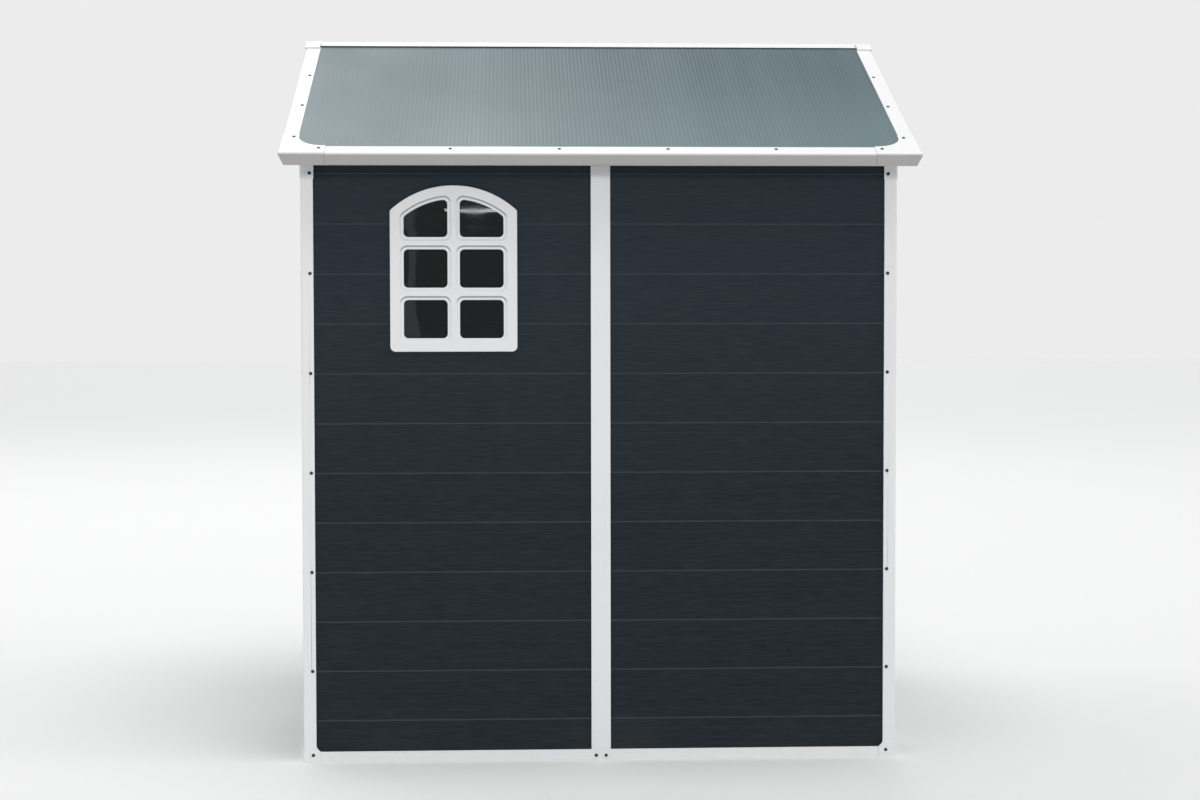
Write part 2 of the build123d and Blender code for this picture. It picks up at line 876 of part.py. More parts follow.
def along_rake(section, start, end):
    """A section of (x, lift) points swept up the window side's slope."""
    plane = Plane(
        origin=roof_plane.from_local_coords((0, start, 0)),
        x_dir=(1, 0, 0),
        z_dir=(0, -math.cos(slope), -math.sin(slope)),
    )
    face = make_face(plane * Polyline(*section, close=True))
    return extrude(face, amount=end - start, dir=(0, math.cos(slope), math.sin(slope)))


def rake_strip():
    """The edging up the front rake of the window side."""
    strip = along_rake(rake_section(0), corner_along_rake, slope_length - ridge_end_width)
    for along in rake_screws:
        if along > corner_along_rake:
            strip = strip - roof_hole(rake_screw_x, along)
    return strip


def eave_corner():
    """The connector where the window side's eave meets the front rake."""
    outer_x = roof_half + corner_proud
    inner_x = roof_half - rake_flange - corner_widening
    start_x = roof_half - corner_along_eave
    inner_s = eave_flange + corner_widening
    corners = [
        (start_x, -corner_proud),
        (outer_x, -corner_proud),
        (outer_x, corner_along_rake),
        (inner_x, corner_along_rake),
        (inner_x, inner_s),
        (start_x, inner_s),
    ]
    top = sweep_z(corners, 0, edging_wall + corner_proud)
    bend = top.edges().filter_by(Axis.Z).sort_by_distance((inner_x, inner_s, 0))[0]
    top = fillet(bend, min(corner_radius, inner_x - start_x - 1))
    low = -edging_depth - corner_proud
    lip = block(
        (start_x, -corner_proud, low),
        (outer_x, edging_wall, edging_wall + corner_proud),
    )
    ledge = block(
        (start_x, edging_wall, -sheet_thickness - edging_wall),
        (sheet_half_length() - return_flange, edging_wall + return_flange, -sheet_thickness),
    )
    eave_side = roof_plane * (top + lip + ledge)
    rake_side = along_rake(rake_section(corner_proud), edging_wall, corner_along_rake)
    lean_cut = [
        (outer_x, edging_wall + corner_proud),
        (outer_x - rake_lean * (edging_wall + corner_proud - low) / edging_depth, low),
        (outer_x - rake_lean * (edging_wall + corner_proud - low) / edging_depth, low - 1),
        (outer_x + 1, low - 1),
        (outer_x + 1, edging_wall + corner_proud),
    ]
    solid = eave_side + rake_side
    solid = solid - along_rake(lean_cut, -edging_depth, corner_along_rake + 1)
    solid = solid - roof_hole(corner_screw_x, eave_flange - eave_screw_inset)
    for along in rake_screws:
        if along <= corner_along_rake:
            solid = solid - roof_hole(rake_screw_x, along)
    return solid


def chevron(width, low, high):
    """An inverted V laid over the ridge, as (y, z) points."""
    start = slope_length - width
    left = [slope_point(start, low), slope_point(start, high), (0, ridge_height(high))]
    right = [(-y, z) for y, z in reversed(left[:2])]
    return left + right + [(0, ridge_height(low))]


def ridge_cap():
    """The cap along the ridge, raised on its seal."""
    half = roof_half - ridge_end_length
    high = ridge_seal_thickness + edging_wall
    return sweep_x(chevron(ridge_cap_width, ridge_seal_thickness, high), -half, half)


def ridge_seal():
    """The dark strip between the cap and the sheets."""
    half = roof_half - ridge_end_length
    return sweep_x(chevron(ridge_seal_width, 0, ridge_seal_thickness), -half, half)


def ridge_end():
    """The moulded cap at the front end of the ridge."""
    outer = roof_half + corner_proud
    top = ridge_seal_thickness + edging_wall + ridge_end_proud
    low = -edging_depth - corner_proud
    saddle = sweep_x(chevron(ridge_end_width, 0, top), outer - ridge_end_length, outer)
    inner_top = roof_half - lean_at(0) - edging_wall
    lip = [
        (outer, top),
        (outer - rake_lean, low),
        (roof_half - rake_lean - edging_wall, low),
        (inner_top, 0),
        (inner_top, top),
    ]
    lip = along_rake(lip, slope_length - ridge_end_width, slope_length + edging_depth)
    lip = lip & block((0, -half_breadth, 0), (2 * roof_half, 0, 2 * ridge_top))
    return saddle + lip + across(lip)


def ridge_beam():
    """The tube under the ridge, bevelled to the sheets."""
    reach = half_length - board_inner - board_play
    low = ridge_underside - beam_depth
    half = beam_width / 2
    tube = block((-reach, -half, low), (reach, half, ridge_underside))
    hollow = block(
        (-2 * reach, -half + post_wall, low + post_wall),
        (2 * reach, half - post_wall, ridge_underside - beam_crown),
    )
    return tube - hollow - above_roof()


def ridge_bracket():
    """The saddle on the front gable's inner face that carries the beam."""
    outer = half_length - board_inner - board_play
    low = ridge_underside - beam_depth - bracket_drop
    half = bracket_width / 2
    saddle = block((outer - bracket_depth, -half, low), (outer, half, ridge_underside))
    room = beam_width / 2 + board_play
    notch = block(
        (0, -room, ridge_underside - beam_depth), (2 * roof_half, room, 2 * ridge_top)
    )
    return saddle - notch - above_roof()


def rafter(x):
    """A window side rafter under the sheet, from the top rail to the beam."""
    lean = rafter_width * math.tan(slope) + board_play
    start = (post_size + eave_overhang) / math.cos(slope)
    outline = [
        slope_point(0, -sheet_thickness),
        slope_point(0, -sheet_thickness - rafter_width),
        slope_point(slope_length + lean, -sheet_thickness - rafter_width),
        slope_point(slope_length + lean, -sheet_thickness),
    ]
    bar = sweep_x(outline, x - rafter_width / 2, x + rafter_width / 2)
    low_y = slope_point(start, 0)[0] + board_play
    room = block(
        (x - rafter_width, low_y, 0), (x + rafter_width, -beam_width / 2 - board_play, 2 * ridge_top)
    )
    return bar & room


# ---- Screws -----------------------------------------------------------------
def screw(place, outward, axis):
    """A pan-head screw at a face; outward is +1 or -1 along the axis."""
    lift = {"X": (1, 0, 0), "Y": (0, 1, 0)}[axis]
    head_middle = [p + outward * screw_head_height / 2 * a for p, a in zip(place, lift)]
    shank_middle = [p - outward * shank_depth / 2 * a for p, a in zip(place, lift)]
    head = rod(head_middle, screw_head_radius, screw_head_height, axis)
    shank = rod(shank_middle, screw_shank_radius, shank_depth, axis)
    return head + shank


def wall_screws():
    """Every screw in the posts, the ground elbows and the joint posts' feet."""
    low = wall_height - sleeve_drop
    corner = []
    for x, y, z, axis in corner_screws():
        proud = connector_skin if z + screw_head_radius > low else 0
        shift = (0, -proud) if axis == "Y" else (-proud, 0)
        corner.append(screw((x + shift[0], y + shift[1], z), -1, axis))
    for x, y, z, axis in base_screws():
        corner.append(screw((x, y, z), -1, axis))
    screws = [copy for one in corner for copy in at_corners(one)]
    for side in (-foot_screw_spacing / 2, foot_screw_spacing / 2):
        foot = screw((side, -half_breadth, foot_screw_z), -1, "Y")
        screws += [foot, across(foot), screw((-half_length, side, foot_screw_z), -1, "X")]
    return screws


def roof_screw(x, along, top):
    """A pan-head screw square to the roof, its shank in the edging."""
    head = Pos(x, along, top + screw_head_height / 2) * Cylinder(
        screw_head_radius, screw_head_height
    )
    shank = Pos(x, along, top / 2) * Cylinder(screw_shank_radius, top)
    return roof_plane * (head + shank)


def roof_screws():
    """The screws along both eaves and up all four rakes."""
    along = eave_flange - eave_screw_inset
    screws = at_corners(roof_screw(-corner_screw_x, along, edging_wall + corner_proud))
    for x in eave_screws:
        one = roof_screw(x, along, edging_wall)
        screws += [one, across(one)]
    for along in rake_screws:
        top = edging_wall + (corner_proud if along <= corner_along_rake else 0)
        screws += at_corners(roof_screw(-rake_screw_x, along, top))
    return screws


# ---- Door leaves, drawn for the passive leaf at +Y --------------------------
def door_stiles():
    """The leaf's two uprights, slotted for the boards."""
    outer = half_length - door_board_recess + board_play
    stiles = []
    for start in (leaf_meeting_edge, leaf_hinge_edge - stile_width):
        stiles.append(
            block((leaf_inner, start, leaf_low), (half_length, start + stile_width, leaf_high))
        )
    middle = (leaf_meeting_edge + leaf_hinge_edge) / 2
    span = (leaf_hinge_edge - leaf_meeting_edge) / 2 - stile_width + slot_depth
    slot = block(
        (outer - slot_width, middle - span, leaf_low + kick_rail_height - slot_depth),
        (outer, middle + span, leaf_high - door_rail_height + slot_depth),
    )
    return [stile - slot for stile in stiles]


def door_rail_spans():
    """The low and high faces of the three rails."""
    half = door_rail_height / 2
    return [
        (leaf_low, leaf_low + kick_rail_height),
        (middle_rail_centre - half, middle_rail_centre + half),
        (leaf_high - door_rail_height, leaf_high),
    ]


def door_rails():
    """The leaf's three cross rails between its stiles."""
    outer = half_length - door_board_recess + board_play
    start = leaf_meeting_edge + stile_width
    end = leaf_hinge_edge - stile_width
    spans = door_rail_spans()
    rails = []
    for low, high in spans:
        rail = block((leaf_inner, start, low), (half_length, end, high))
        if low > leaf_low:
            rail = rail - block(
                (outer - slot_width, start - 1, low - 1), (outer, end + 1, low + slot_depth)
            )
        if high < leaf_high:
            rail = rail - block(
                (outer - slot_width, start - 1, high - slot_depth), (outer, end + 1, high + 1)
            )
        rails.append(rail)
    return rails


def door_panels():
    """The leaf's two grooved boards."""
    start = leaf_meeting_edge + stile_width - tongue
    end = leaf_hinge_edge - stile_width + tongue
    spans = door_rail_spans()
    panels = []
    for below, above in zip(spans, spans[1:]):
        low = below[1] - slot_depth
        high = above[0] + tongue
        panels.append(front_boards(start, end, low, high, door_board_recess))
    return panels


def knuckle(low, high, radius_of_hole):
    """One barrel of a hinge on the pin at +Y."""
    middle = (hinge_x, door_half, (low + high) / 2)
    barrel = rod(middle, knuckle_radius, high - low)
    return barrel, rod(middle, radius_of_hole, 2 * (high - low))


def hinge_leaf_plate(z):
    """The moving plate of one hinge, with the middle barrel."""
    half = knuckle_height / 2
    barrel, hole = knuckle(z - half, z + half, pin_radius + pin_play)
    tall = 3 * knuckle_height / 2
    face = half_length
    edge = leaf_hinge_edge - hinge_plate_gap
    plate = block(
        (face, edge - hinge_plate_width, z - tall), (face + hinge_plate_thickness, edge, z + tall)
    )
    tab = block((face, edge - 1, z - half), (face + hinge_plate_thickness, door_half, z + half))
    return plate + (tab + barrel - hole)


def hinge_frame_plate(z):
    """The fixed plate of one hinge, with the two outer barrels."""
    half = knuckle_height / 2
    tall = 3 * half + knuckle_gap
    face = half_length
    edge = door_half + hinge_plate_gap
    plate = block(
        (face, edge, z - tall),
        (face + hinge_plate_thickness, edge + hinge_plate_width, z + tall),
    )
    room = rod((hinge_x, door_half, z), knuckle_radius + 1, 2 * (half + knuckle_gap))
    solid = plate - room
    for low in (z - tall, z + half + knuckle_gap):
        barrel, hole = knuckle(low, low + knuckle_height, pin_radius + pin_play)
        tab = block(
            (face, door_half, low), (face + hinge_plate_thickness, edge + 1, low + knuckle_height)
        )
        solid = solid + (tab + barrel - hole)
    return solid


def hinge_pin(z):
    """A pin that hangs by its head in the hinge's barrels."""
    tall = 3 * knuckle_height / 2 + knuckle_gap
    shaft = rod((hinge_x, door_half, z), pin_radius, 2 * tall)
    head_z = z + tall + pin_head_height / 2
    return shaft + rod((hinge_x, door_half, head_z), pin_head_radius, pin_head_height)


# ---- Handle and latch on the active leaf at -Y ------------------------------
def door_handle():
    """A bow handle on two feet."""
    y = -leaf_meeting_edge - stile_width / 2
    face = half_length
    half = handle_height / 2
    reach = face + handle_reach
    low, high = handle_centre_z - half, handle_centre_z + half
    path = FilletPolyline(
        (face + handle_foot_thickness, y, low),
        (reach, y, low),
        (reach, y, high),
        (face + handle_foot_thickness, y, high),
        radius=2 * handle_radius,
    )
    bow = sweep(Plane(origin=path @ 0, z_dir=path % 0) * Circle(handle_radius), path)
    feet = [
        block(
            (face, y - handle_foot / 2, z - handle_foot / 2),
            (face + handle_foot_thickness, y + handle_foot / 2, z + handle_foot / 2),
        )
        for z in (low, high)
    ]
    return fused([bow] + feet)


def latch_bar():
    """The sliding bar with its knob, drawn back from the passive leaf."""
    end = -latch_retreat
    low_x = half_length + latch_standoff
    half = latch_bar_height / 2
    bar = block(
        (low_x, end - latch_bar_length, latch_z - half),
        (low_x + latch_bar_width, end, latch_z + half),
    )
    strap_edge = end - latch_guide_inset - latch_guide_width
    knob_y = strap_edge - latch_travel - latch_knob_radius - latch_knob_room
    knob_x = low_x + latch_bar_width + latch_knob_length / 2
    knob = rod((knob_x, knob_y, latch_z), latch_knob_radius, latch_knob_length, "X")
    return bar + knob


def latch_loop(start, end):
    """A strap over the latch bar, with feet on the leaf's face."""
    face = half_length
    half = latch_bar_height / 2 + latch_play
    top = face + latch_standoff + latch_bar_width + latch_play
    back = face + latch_standoff - latch_play
    strap = block(
        (face, start, latch_z - half - latch_wall), (top + latch_wall, end, latch_z + half + latch_wall)
    )
    feet = block(
        (face, start, latch_z - half - latch_wall - latch_foot),
        (face + latch_wall - latch_play, end, latch_z + half + latch_wall + latch_foot),
    )
    room = block((back, start - 1, latch_z - half), (top, end + 1, latch_z + half))
    return strap + feet - room


def latch_guides():
    """The two straps that hold the bar to the active leaf."""
    inner = -latch_retreat - latch_guide_inset
    far = -latch_retreat - latch_bar_length + latch_guide_inset
    return [latch_loop(inner - latch_guide_width, inner), latch_loop(far, far + latch_guide_width)]


def latch_keeper():
    """The strap on the passive leaf that the bar slides into."""
    start = leaf_meeting_edge + latch_keeper_inset
    return latch_loop(start, start + latch_guide_width)


# ---- Bolts inside the passive leaf ------------------------------------------
top_bolt_end = wall_height - bolt_end_gap
bottom_bolt_end = rail_height + bolt_foot_gap


def bolt(low, knob_z):
    """A round bolt with a knob that points into the shed."""
    bar = rod((bolt_x, bolt_y, low + bolt_length / 2), bolt_radius, bolt_length)
    knob_x = bolt_x - bolt_knob_reach / 2
    return bar + rod((knob_x, bolt_y, knob_z), bolt_knob_radius, bolt_knob_reach, "X")


def bolt_guide(z):
    """A block on the leaf's inner face with a running hole for the bolt."""
    half = bolt_guide_size / 2
    guide = block(
        (bolt_x - half, bolt_y - half, z - bolt_guide_height / 2),
        (leaf_inner, bolt_y + half, z + bolt_guide_height / 2),
    )
    return guide - rod((bolt_x, bolt_y, z), bolt_radius + bolt_play, 2 * bolt_guide_height)


bolt_guide_places = (
    bottom_bolt_end + bolt_guide_inset,
    bottom_bolt_end + bolt_length - bolt_guide_inset,
    top_bolt_end - bolt_length + bolt_guide_inset,
    top_bolt_end - bolt_guide_inset,
)


# ---- Write every sub-part ---------------------------------------------------
os.makedirs("parts", exist_ok=True)

save(group(floor_panels()), "floor_panels")
save(base_rail(), "base_rail_window_side")
save(across(base_rail()), "base_rail_plain_side")
save(rear_base_rail(), "base_rail_rear")
save(door_sill(), "door_sill")
save(group(at_corners(base_connector())), "base_corner_connectors")

posts = at_corners(corner_post())
save(posts[0], "corner_post_rear_window_side")
save(posts[1], "corner_post_front_window_side")
save(posts[2], "corner_post_rear_plain_side")
save(posts[3], "corner_post_front_plain_side")
side_joint = joint_post()
rear_joint = Rot(0, 0, -90) * Pos(0, half_breadth, 0) * side_joint
rear_joint = Pos(-half_length, 0, 0) * rear_joint
save(group([side_joint, across(side_joint), rear_joint]), "joint_posts")
save(group(at_corners(top_connector())), "top_corner_connectors")
save(wall_plate(), "wall_plate_window_side")
save(across(wall_plate()), "wall_plate_plain_side")
save(rear_tie_rail(), "tie_rail_rear")
save(door_head(), "door_head")

front_side = side_boards(board_joint, board_corner_x, board_low, board_high)
save(window_panel(), "wall_panel_window")
save(front_side, "wall_panel_window_side_front")
save(across(front_side), "wall_panel_plain_side_front")
save(across(endways(front_side)), "wall_panel_plain_side_rear")
rear_half = endways(front_boards(board_joint, board_corner_y, board_low, board_high))
save(rear_half, "wall_panel_rear_plain_side")
save(across(rear_half), "wall_panel_rear_window_side")
beside_door = front_boards(
    door_half + jamb_width - tongue, board_corner_y, board_low, board_high
)
save(group([beside_door, across(beside_door)]), "side_panels_front")
save(group([door_jamb(), across(door_jamb())]), "door_jambs")
save(gable_panel(), "gable_panel_front")
save(endways(gable_panel()), "gable_panel_rear")
save(group([gable_vent(), endways(gable_vent())]), "gable_vents")

save(window_outer_frame(), "window_outer_frame")
save(window_inner_frame(), "window_inner_frame")
save(window_glazing(), "window_glazing")

save(roof_sheet(), "roof_sheet_window_side")
save(across(roof_sheet()), "roof_sheet_plain_side")
save(group([eave_strip(), across(eave_strip())]), "eave_strips")
save(group(at_corners(endways(rake_strip()))), "rake_strips")
save(group(at_corners(endways(eave_corner()))), "eave_corner_connectors")
save(ridge_cap(), "ridge_cap")
save(ridge_seal(), "ridge_seal")
save(group([ridge_end(), endways(ridge_end())]), "ridge_end_caps")
save(ridge_beam(), "ridge_beam")
save(group([ridge_bracket(), endways(ridge_bracket())]), "ridge_brackets")
rafter_reach = rafter_pitch * int((half_length - post_size) / rafter_pitch)
rafters = [rafter(x) for x in places(-rafter_reach, rafter_pitch, rafter_reach)]
save(group(rafters + [across(one) for one in rafters]), "rafters")

save(group(wall_screws()), "wall_screws")
save(group(roof_screws()), "roof_screws")

for leaf, place in (("passive", lambda shape: shape), ("active", across)):
    save(group([place(one) for one in door_stiles()]), f"door_stiles_{leaf}")
    save(group([place(one) for one in door_rails()]), f"door_rails_{leaf}")
    save(group([place(one) for one in door_panels()]), f"door_panels_{leaf}")
    plates = [place(hinge_leaf_plate(z)) for z in hinge_heights]
    save(group(plates), f"hinge_plates_{leaf}")

fixed = [hinge_frame_plate(z) for z in hinge_heights]
pins = [hinge_pin(z) for z in hinge_heights]
save(group(fixed + [across(one) for one in fixed]), "hinge_plates_frame")
save(group(pins + [across(one) for one in pins]), "hinge_pins")

save(door_handle(), "door_handle")
save(latch_bar(), "latch_bar")
save(group(latch_guides()), "latch_guides")
save(latch_keeper(), "latch_keeper")
save(group([bolt_guide(z) for z in bolt_guide_places]), "bolt_guides")
save(bolt(bottom_bolt_end, bottom_bolt_end + bolt_length / 2), "bottom_bolt")
save(bolt(top_bolt_end - bolt_length, top_bolt_end - bolt_length / 2), "top_bolt")

print("hinge axis", hinge_x, door_half, "swing", swing_degrees)
print("bolt travel", bolt_travel, "latch travel", latch_travel)
print("ridge", round(ridge_height(0), 1), "eave", round(eave_z, 1), "eave at Y", eave_y)
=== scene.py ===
# %% [markdown]
# # A plastic garden shed
#
# The shed is a kit of plastic extrusions: white posts and rails grip dark
# plank boards, a fluted twin-wall roof lies on top, and everything is held by
# small black screws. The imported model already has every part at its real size
# and place. This notebook gives each one its real surface: rounded edges on
# what comes out of a mould or a die, a grained finish on the boards, flutes in
# the roof, a wavy clear sheet in the window and true screw heads.
#
# Everything is in metres, +Z up. The ridge runs along X, the window is on the
# -Y side and the doors are on the +X gable.

# %% Load the model
import json
import math

import bmesh
import bpy
from mathutils import Euler, Matrix, Vector, noise

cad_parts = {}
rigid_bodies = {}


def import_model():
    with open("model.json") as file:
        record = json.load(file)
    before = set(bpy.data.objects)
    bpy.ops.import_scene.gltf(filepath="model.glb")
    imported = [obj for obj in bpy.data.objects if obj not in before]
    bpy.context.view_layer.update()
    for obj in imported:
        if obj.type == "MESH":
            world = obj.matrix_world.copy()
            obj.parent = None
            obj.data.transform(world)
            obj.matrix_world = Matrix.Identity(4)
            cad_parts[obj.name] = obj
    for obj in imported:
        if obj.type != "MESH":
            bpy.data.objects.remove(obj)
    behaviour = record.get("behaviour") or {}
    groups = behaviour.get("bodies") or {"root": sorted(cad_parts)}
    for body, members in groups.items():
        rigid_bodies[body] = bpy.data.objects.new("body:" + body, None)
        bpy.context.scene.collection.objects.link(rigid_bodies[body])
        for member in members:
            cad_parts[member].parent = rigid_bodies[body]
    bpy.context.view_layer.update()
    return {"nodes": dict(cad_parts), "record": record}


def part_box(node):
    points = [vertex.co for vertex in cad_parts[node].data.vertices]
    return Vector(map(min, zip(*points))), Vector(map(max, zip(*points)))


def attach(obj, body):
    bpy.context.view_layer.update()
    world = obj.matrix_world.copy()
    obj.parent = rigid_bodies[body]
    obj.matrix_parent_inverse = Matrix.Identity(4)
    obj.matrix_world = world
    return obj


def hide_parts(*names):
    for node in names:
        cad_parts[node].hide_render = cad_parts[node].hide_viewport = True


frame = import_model()
nodes = frame["nodes"]
slot_of = {part["node"]: part["material_slot"] for part in frame["record"]["subparts"]}
bodies = frame["record"]["behaviour"]["bodies"]
body_of = {node: body for body, members in bodies.items() for node in members}

# %% [markdown]
# ## Sizes the finishes need
#
# A pattern looks right only if it lines up with the shape it lies on. The face
# and the top of the walls are read from the model. The pitches of the planks,
# of their inner webs and of the roof's flutes, the first groove's height and
# the roof's slope are the model's own sizes, written here once.

# %% Sizes
PLANK = 0.150
FIRST_GROOVE = 0.124
WEB = 0.030
FLUTE = 0.0125

post_low, post_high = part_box("corner_post_rear_window_side")
WALL_FACE_Y = post_low.y
WALL_TOP = post_high.z
SLOPE = math.radians(24.7)
SHEET = 0.010
print("wall face at", round(WALL_FACE_Y, 3), "wall top at", round(WALL_TOP, 3))

# %% [markdown]
# ## Shader maths as Python
#
# A material is a small graph of nodes. Written out one node at a time it is
# long and hard to read, so a socket is wrapped in a class whose operators add
# the Math nodes. `1 - mask * 0.5` then reads as what it is.


# %% Sockets and recipes
class Value:
    """A number that varies over a surface: one output socket of a node."""

    def __init__(self, recipe, socket):
        self.recipe, self.socket = recipe, socket

    def maths(self, operation, *values):
        return self.recipe.node("Math", {"operation": operation}, dict(enumerate(values)))

    def __add__(self, other):
        return self.maths("ADD", self, other)

    def __sub__(self, other):
        return self.maths("SUBTRACT", self, other)

    def __rsub__(self, other):
        return self.maths("SUBTRACT", other, self)

    def __mul__(self, other):
        return self.maths("MULTIPLY", self, other)

    __radd__ = __add__
    __rmul__ = __mul__

    def fraction(self):
        return self.maths("FRACT", self)

    def floor(self):
        return self.maths("FLOOR", self)

    def ramp(self, low, high, start=0.0, end=1.0):
        """The value taken smoothly from low..high to start..end."""
        settings = {"interpolation_type": "SMOOTHSTEP"}
        sockets = {
            "Value": self, "From Min": low, "From Max": high, "To Min": start, "To Max": end,
        }
        return self.recipe.node("MapRange", settings, sockets)


class Recipe:
    """A material under construction, with its Principled shader."""

    def __init__(self, name, roughness=0.5, metallic=0.0, **constants):
        self.material = bpy.data.materials.new(name)
        self.material.use_nodes = True
        self.tree = self.material.node_tree
        self.shader = self.tree.nodes["Principled BSDF"]
        self.feed("Roughness", roughness)
        self.feed("Metallic", metallic)
        for socket, constant in constants.items():
            self.feed(socket.replace("_", " ").title().replace("Ior", "IOR"), constant)

    def feed(self, name, value):
        """Sets one of the shader's sockets, or links a varying value to it."""
        self.join(self.shader.inputs[name], value)

    def join(self, socket, value):
        if isinstance(value, Value):
            self.tree.links.new(value.socket, socket)
        else:
            socket.default_value = value

    def node(self, kind, settings=None, sockets=None, out=0):
        """Adds any node: its settings first, then the values of its sockets."""
        made = self.tree.nodes.new("ShaderNode" + kind)
        for name, setting in (settings or {}).items():
            setattr(made, name, setting)
        for name, value in (sockets or {}).items():
            self.join(made.inputs[name], value)
        return Value(self, made.outputs[out])

    def place(self):
        """The surface point as separate X, Y and Z values in metres."""
        point = self.node("TexCoord", out="Object")
        return [self.node("SeparateXYZ", None, {0: point}, out=axis) for axis in "XYZ"]

    def stretched(self, x, y, z):
        return self.node("CombineXYZ", None, {0: x, 1: y, 2: z})

    def noise(self, vector, scale, detail=3.0, roughness=0.5):
        sockets = {"Vector": vector, "Scale": scale, "Detail": detail, "Roughness": roughness}
        return self.node("TexNoise", None, sockets, out="Fac")

    def blend(self, factor, first, second):
        """A colour between two, by a varying factor."""
        colours = {0: factor, 6: first, 7: second}
        return self.node("Mix", {"data_type": "RGBA"}, colours, out=2)

    def bump(self, height, depth, strength=1.0):
        """Feeds the shader's normal with a relief that is depth metres deep."""
        sockets = {"Height": height, "Distance": depth, "Strength": strength}
        self.feed("Normal", self.node("Bump", None, sockets, out="Normal"))


def colour(red, green, blue):
    """A colour written as on a screen, 0 to 255, for the shader's linear light."""
    linear = [(part / 255 / 12.92) if part < 10 else ((part / 255 + 0.055) / 1.055) ** 2.4
              for part in (red, green, blue)]
    return (*linear, 1.0)


# %% [markdown]
# ## White PVC
#
# The posts, rails and trim are white PVC. It isn't one flat white: there are
# patches that are a little glossier, and rain splashes a little grey on to the
# lowest hand's breadth. Light and shade are painted in too: faces that look up
# get a painted highlight, and faces that look down get painted shade. All but
# the last is weak, because the real profiles are clean. The way a face looks is
# its normal's Z, which stays with the surface.


# %% White PVC
SPLASH_HEIGHT = 0.12


def white_pvc(name, painted_shade_colour, full_white=0.05):
    """White PVC, with painted shade where the normal's Z falls from full_white to -0.4 and a
    painted highlight where it looks up.
    """
    recipe = Recipe(name)
    x, y, z = recipe.place()
    point = recipe.stretched(x, y, z)
    patches = recipe.noise(point, scale=3.0, detail=4.0)
    fine = recipe.noise(point, scale=900.0, detail=2.0)
    drops = recipe.noise(point, scale=24.0, detail=5.0).ramp(0.4, 0.8)
    splash = z.ramp(0.0, SPLASH_HEIGHT, 1.0, 0.0) * drops
    normal = recipe.node("NewGeometry", out="Normal")
    facing = recipe.node("SeparateXYZ", None, {0: normal}, out="Z")
    # painted shade: faces that look down are darkened towards the given shade colour
    down = facing.ramp(-0.40, full_white, 1.0, 0.0)
    clean = recipe.blend(patches, colour(221, 222, 225), colour(228, 228, 229))
    # painted highlight: faces that look up are lightened to near white
    clean = recipe.blend(facing.ramp(0.5, 0.85), clean, colour(248, 248, 248))
    clean = recipe.blend(down, clean, painted_shade_colour)
    recipe.feed("Base Color", recipe.blend(splash * 0.12, clean, colour(186, 183, 176)))
    recipe.feed("Roughness", patches.ramp(0.3, 0.7, 0.32, 0.44) + splash * 0.15)
    recipe.bump(fine * 0.6 + patches, depth=0.00012)
    return recipe.material


# %% [markdown]
# ## Dark plank boards
#
# The boards are embossed with a wood grain and coloured through in a dark
# blue-grey, with painted light making them a little lighter towards the top.
# Each plank is 150 mm high, has inner webs every 30 mm that show through its
# face as faint lines, has a painted highlight along each joint between planks,
# and takes the light a little differently from its neighbours. Because every
# wall is flat and upright, `x + y` runs along the planks on all four sides, so
# one material serves them all.


# %% Dark boards
def dark_board():
    recipe = Recipe("dark_board", specular_ior_level=0.15)
    x, y, z = recipe.place()
    along = x + y
    plank = ((z - FIRST_GROOVE) * (1 / PLANK)).floor()
    side = recipe.node("Math", {"operation": "SIGN"}, {0: along})
    own = recipe.stretched(plank, side, 0.0)
    tone = recipe.node("TexWhiteNoise", None, {0: own}, out="Value")
    # wide figure, then short pores, both drawn out along the plank
    wide = recipe.stretched(along * 1.4, z * 26.0, plank * 3.7)
    short = recipe.stretched(along * 14.0, z * 420.0, plank)
    figure = recipe.noise(wide, scale=1.0, detail=5.0, roughness=0.62)
    pores = recipe.noise(short, scale=1.0, detail=2.0)
    grain = pores.ramp(0.42, 0.62)
    # a narrow dip at each inner web, and a painted highlight at each joint between planks
    web = ((z - FIRST_GROOVE) * (1 / WEB)).fraction()
    line = web.ramp(0.0, 0.07, 1.0, 0.0) + web.ramp(0.93, 1.0)
    joint = ((z - FIRST_GROOVE) * (1 / PLANK)).fraction()
    edge = joint.ramp(0.0, 0.02, 1.0, 0.0) + joint.ramp(0.98, 1.0)
    haze = recipe.noise(recipe.stretched(x, y, z), scale=2.2)
    painted_top_light = z.ramp(0.6, 2.0) * 0.7
    base = recipe.blend(tone, colour(15, 25, 32), colour(19, 29, 36))
    base = recipe.blend(figure.ramp(0.3, 0.75), base, colour(26, 35, 42))
    # painted light: the boards a little lighter towards the top
    base = recipe.blend(painted_top_light, base, colour(36, 49, 58))
    base = recipe.blend(grain * 0.25 + line * 0.16, base, colour(52, 60, 67))
    # painted highlight along each joint, where the groove's lower flank would catch the light
    base = recipe.blend(edge * 0.8, base, colour(84, 92, 98))
    dust = z.ramp(0.02, 0.20, 1.0, 0.0) * haze.ramp(0.3, 0.8)
    recipe.feed("Base Color", recipe.blend(dust * 0.05, base, colour(120, 118, 110)))
    recipe.feed("Roughness", figure.ramp(0.2, 0.8, 0.50, 0.66) + haze * 0.06)
    recipe.bump(figure * 0.35 + pores * 0.5 - line * 0.35, depth=0.0009, strength=0.75)
    return recipe.material


# %% [markdown]
# ## Twin-wall roof sheet
#
# The sheet is two thin skins joined by webs every 12.5 mm, so light comes back
# from it in fine stripes that run up the slope, gathered in wider soft bands
# where the extruder's die was a little warmer. It pales towards the eaves,
# where the dust is washed to. The flutes themselves are modelled further down,
# and here they only get their colour.


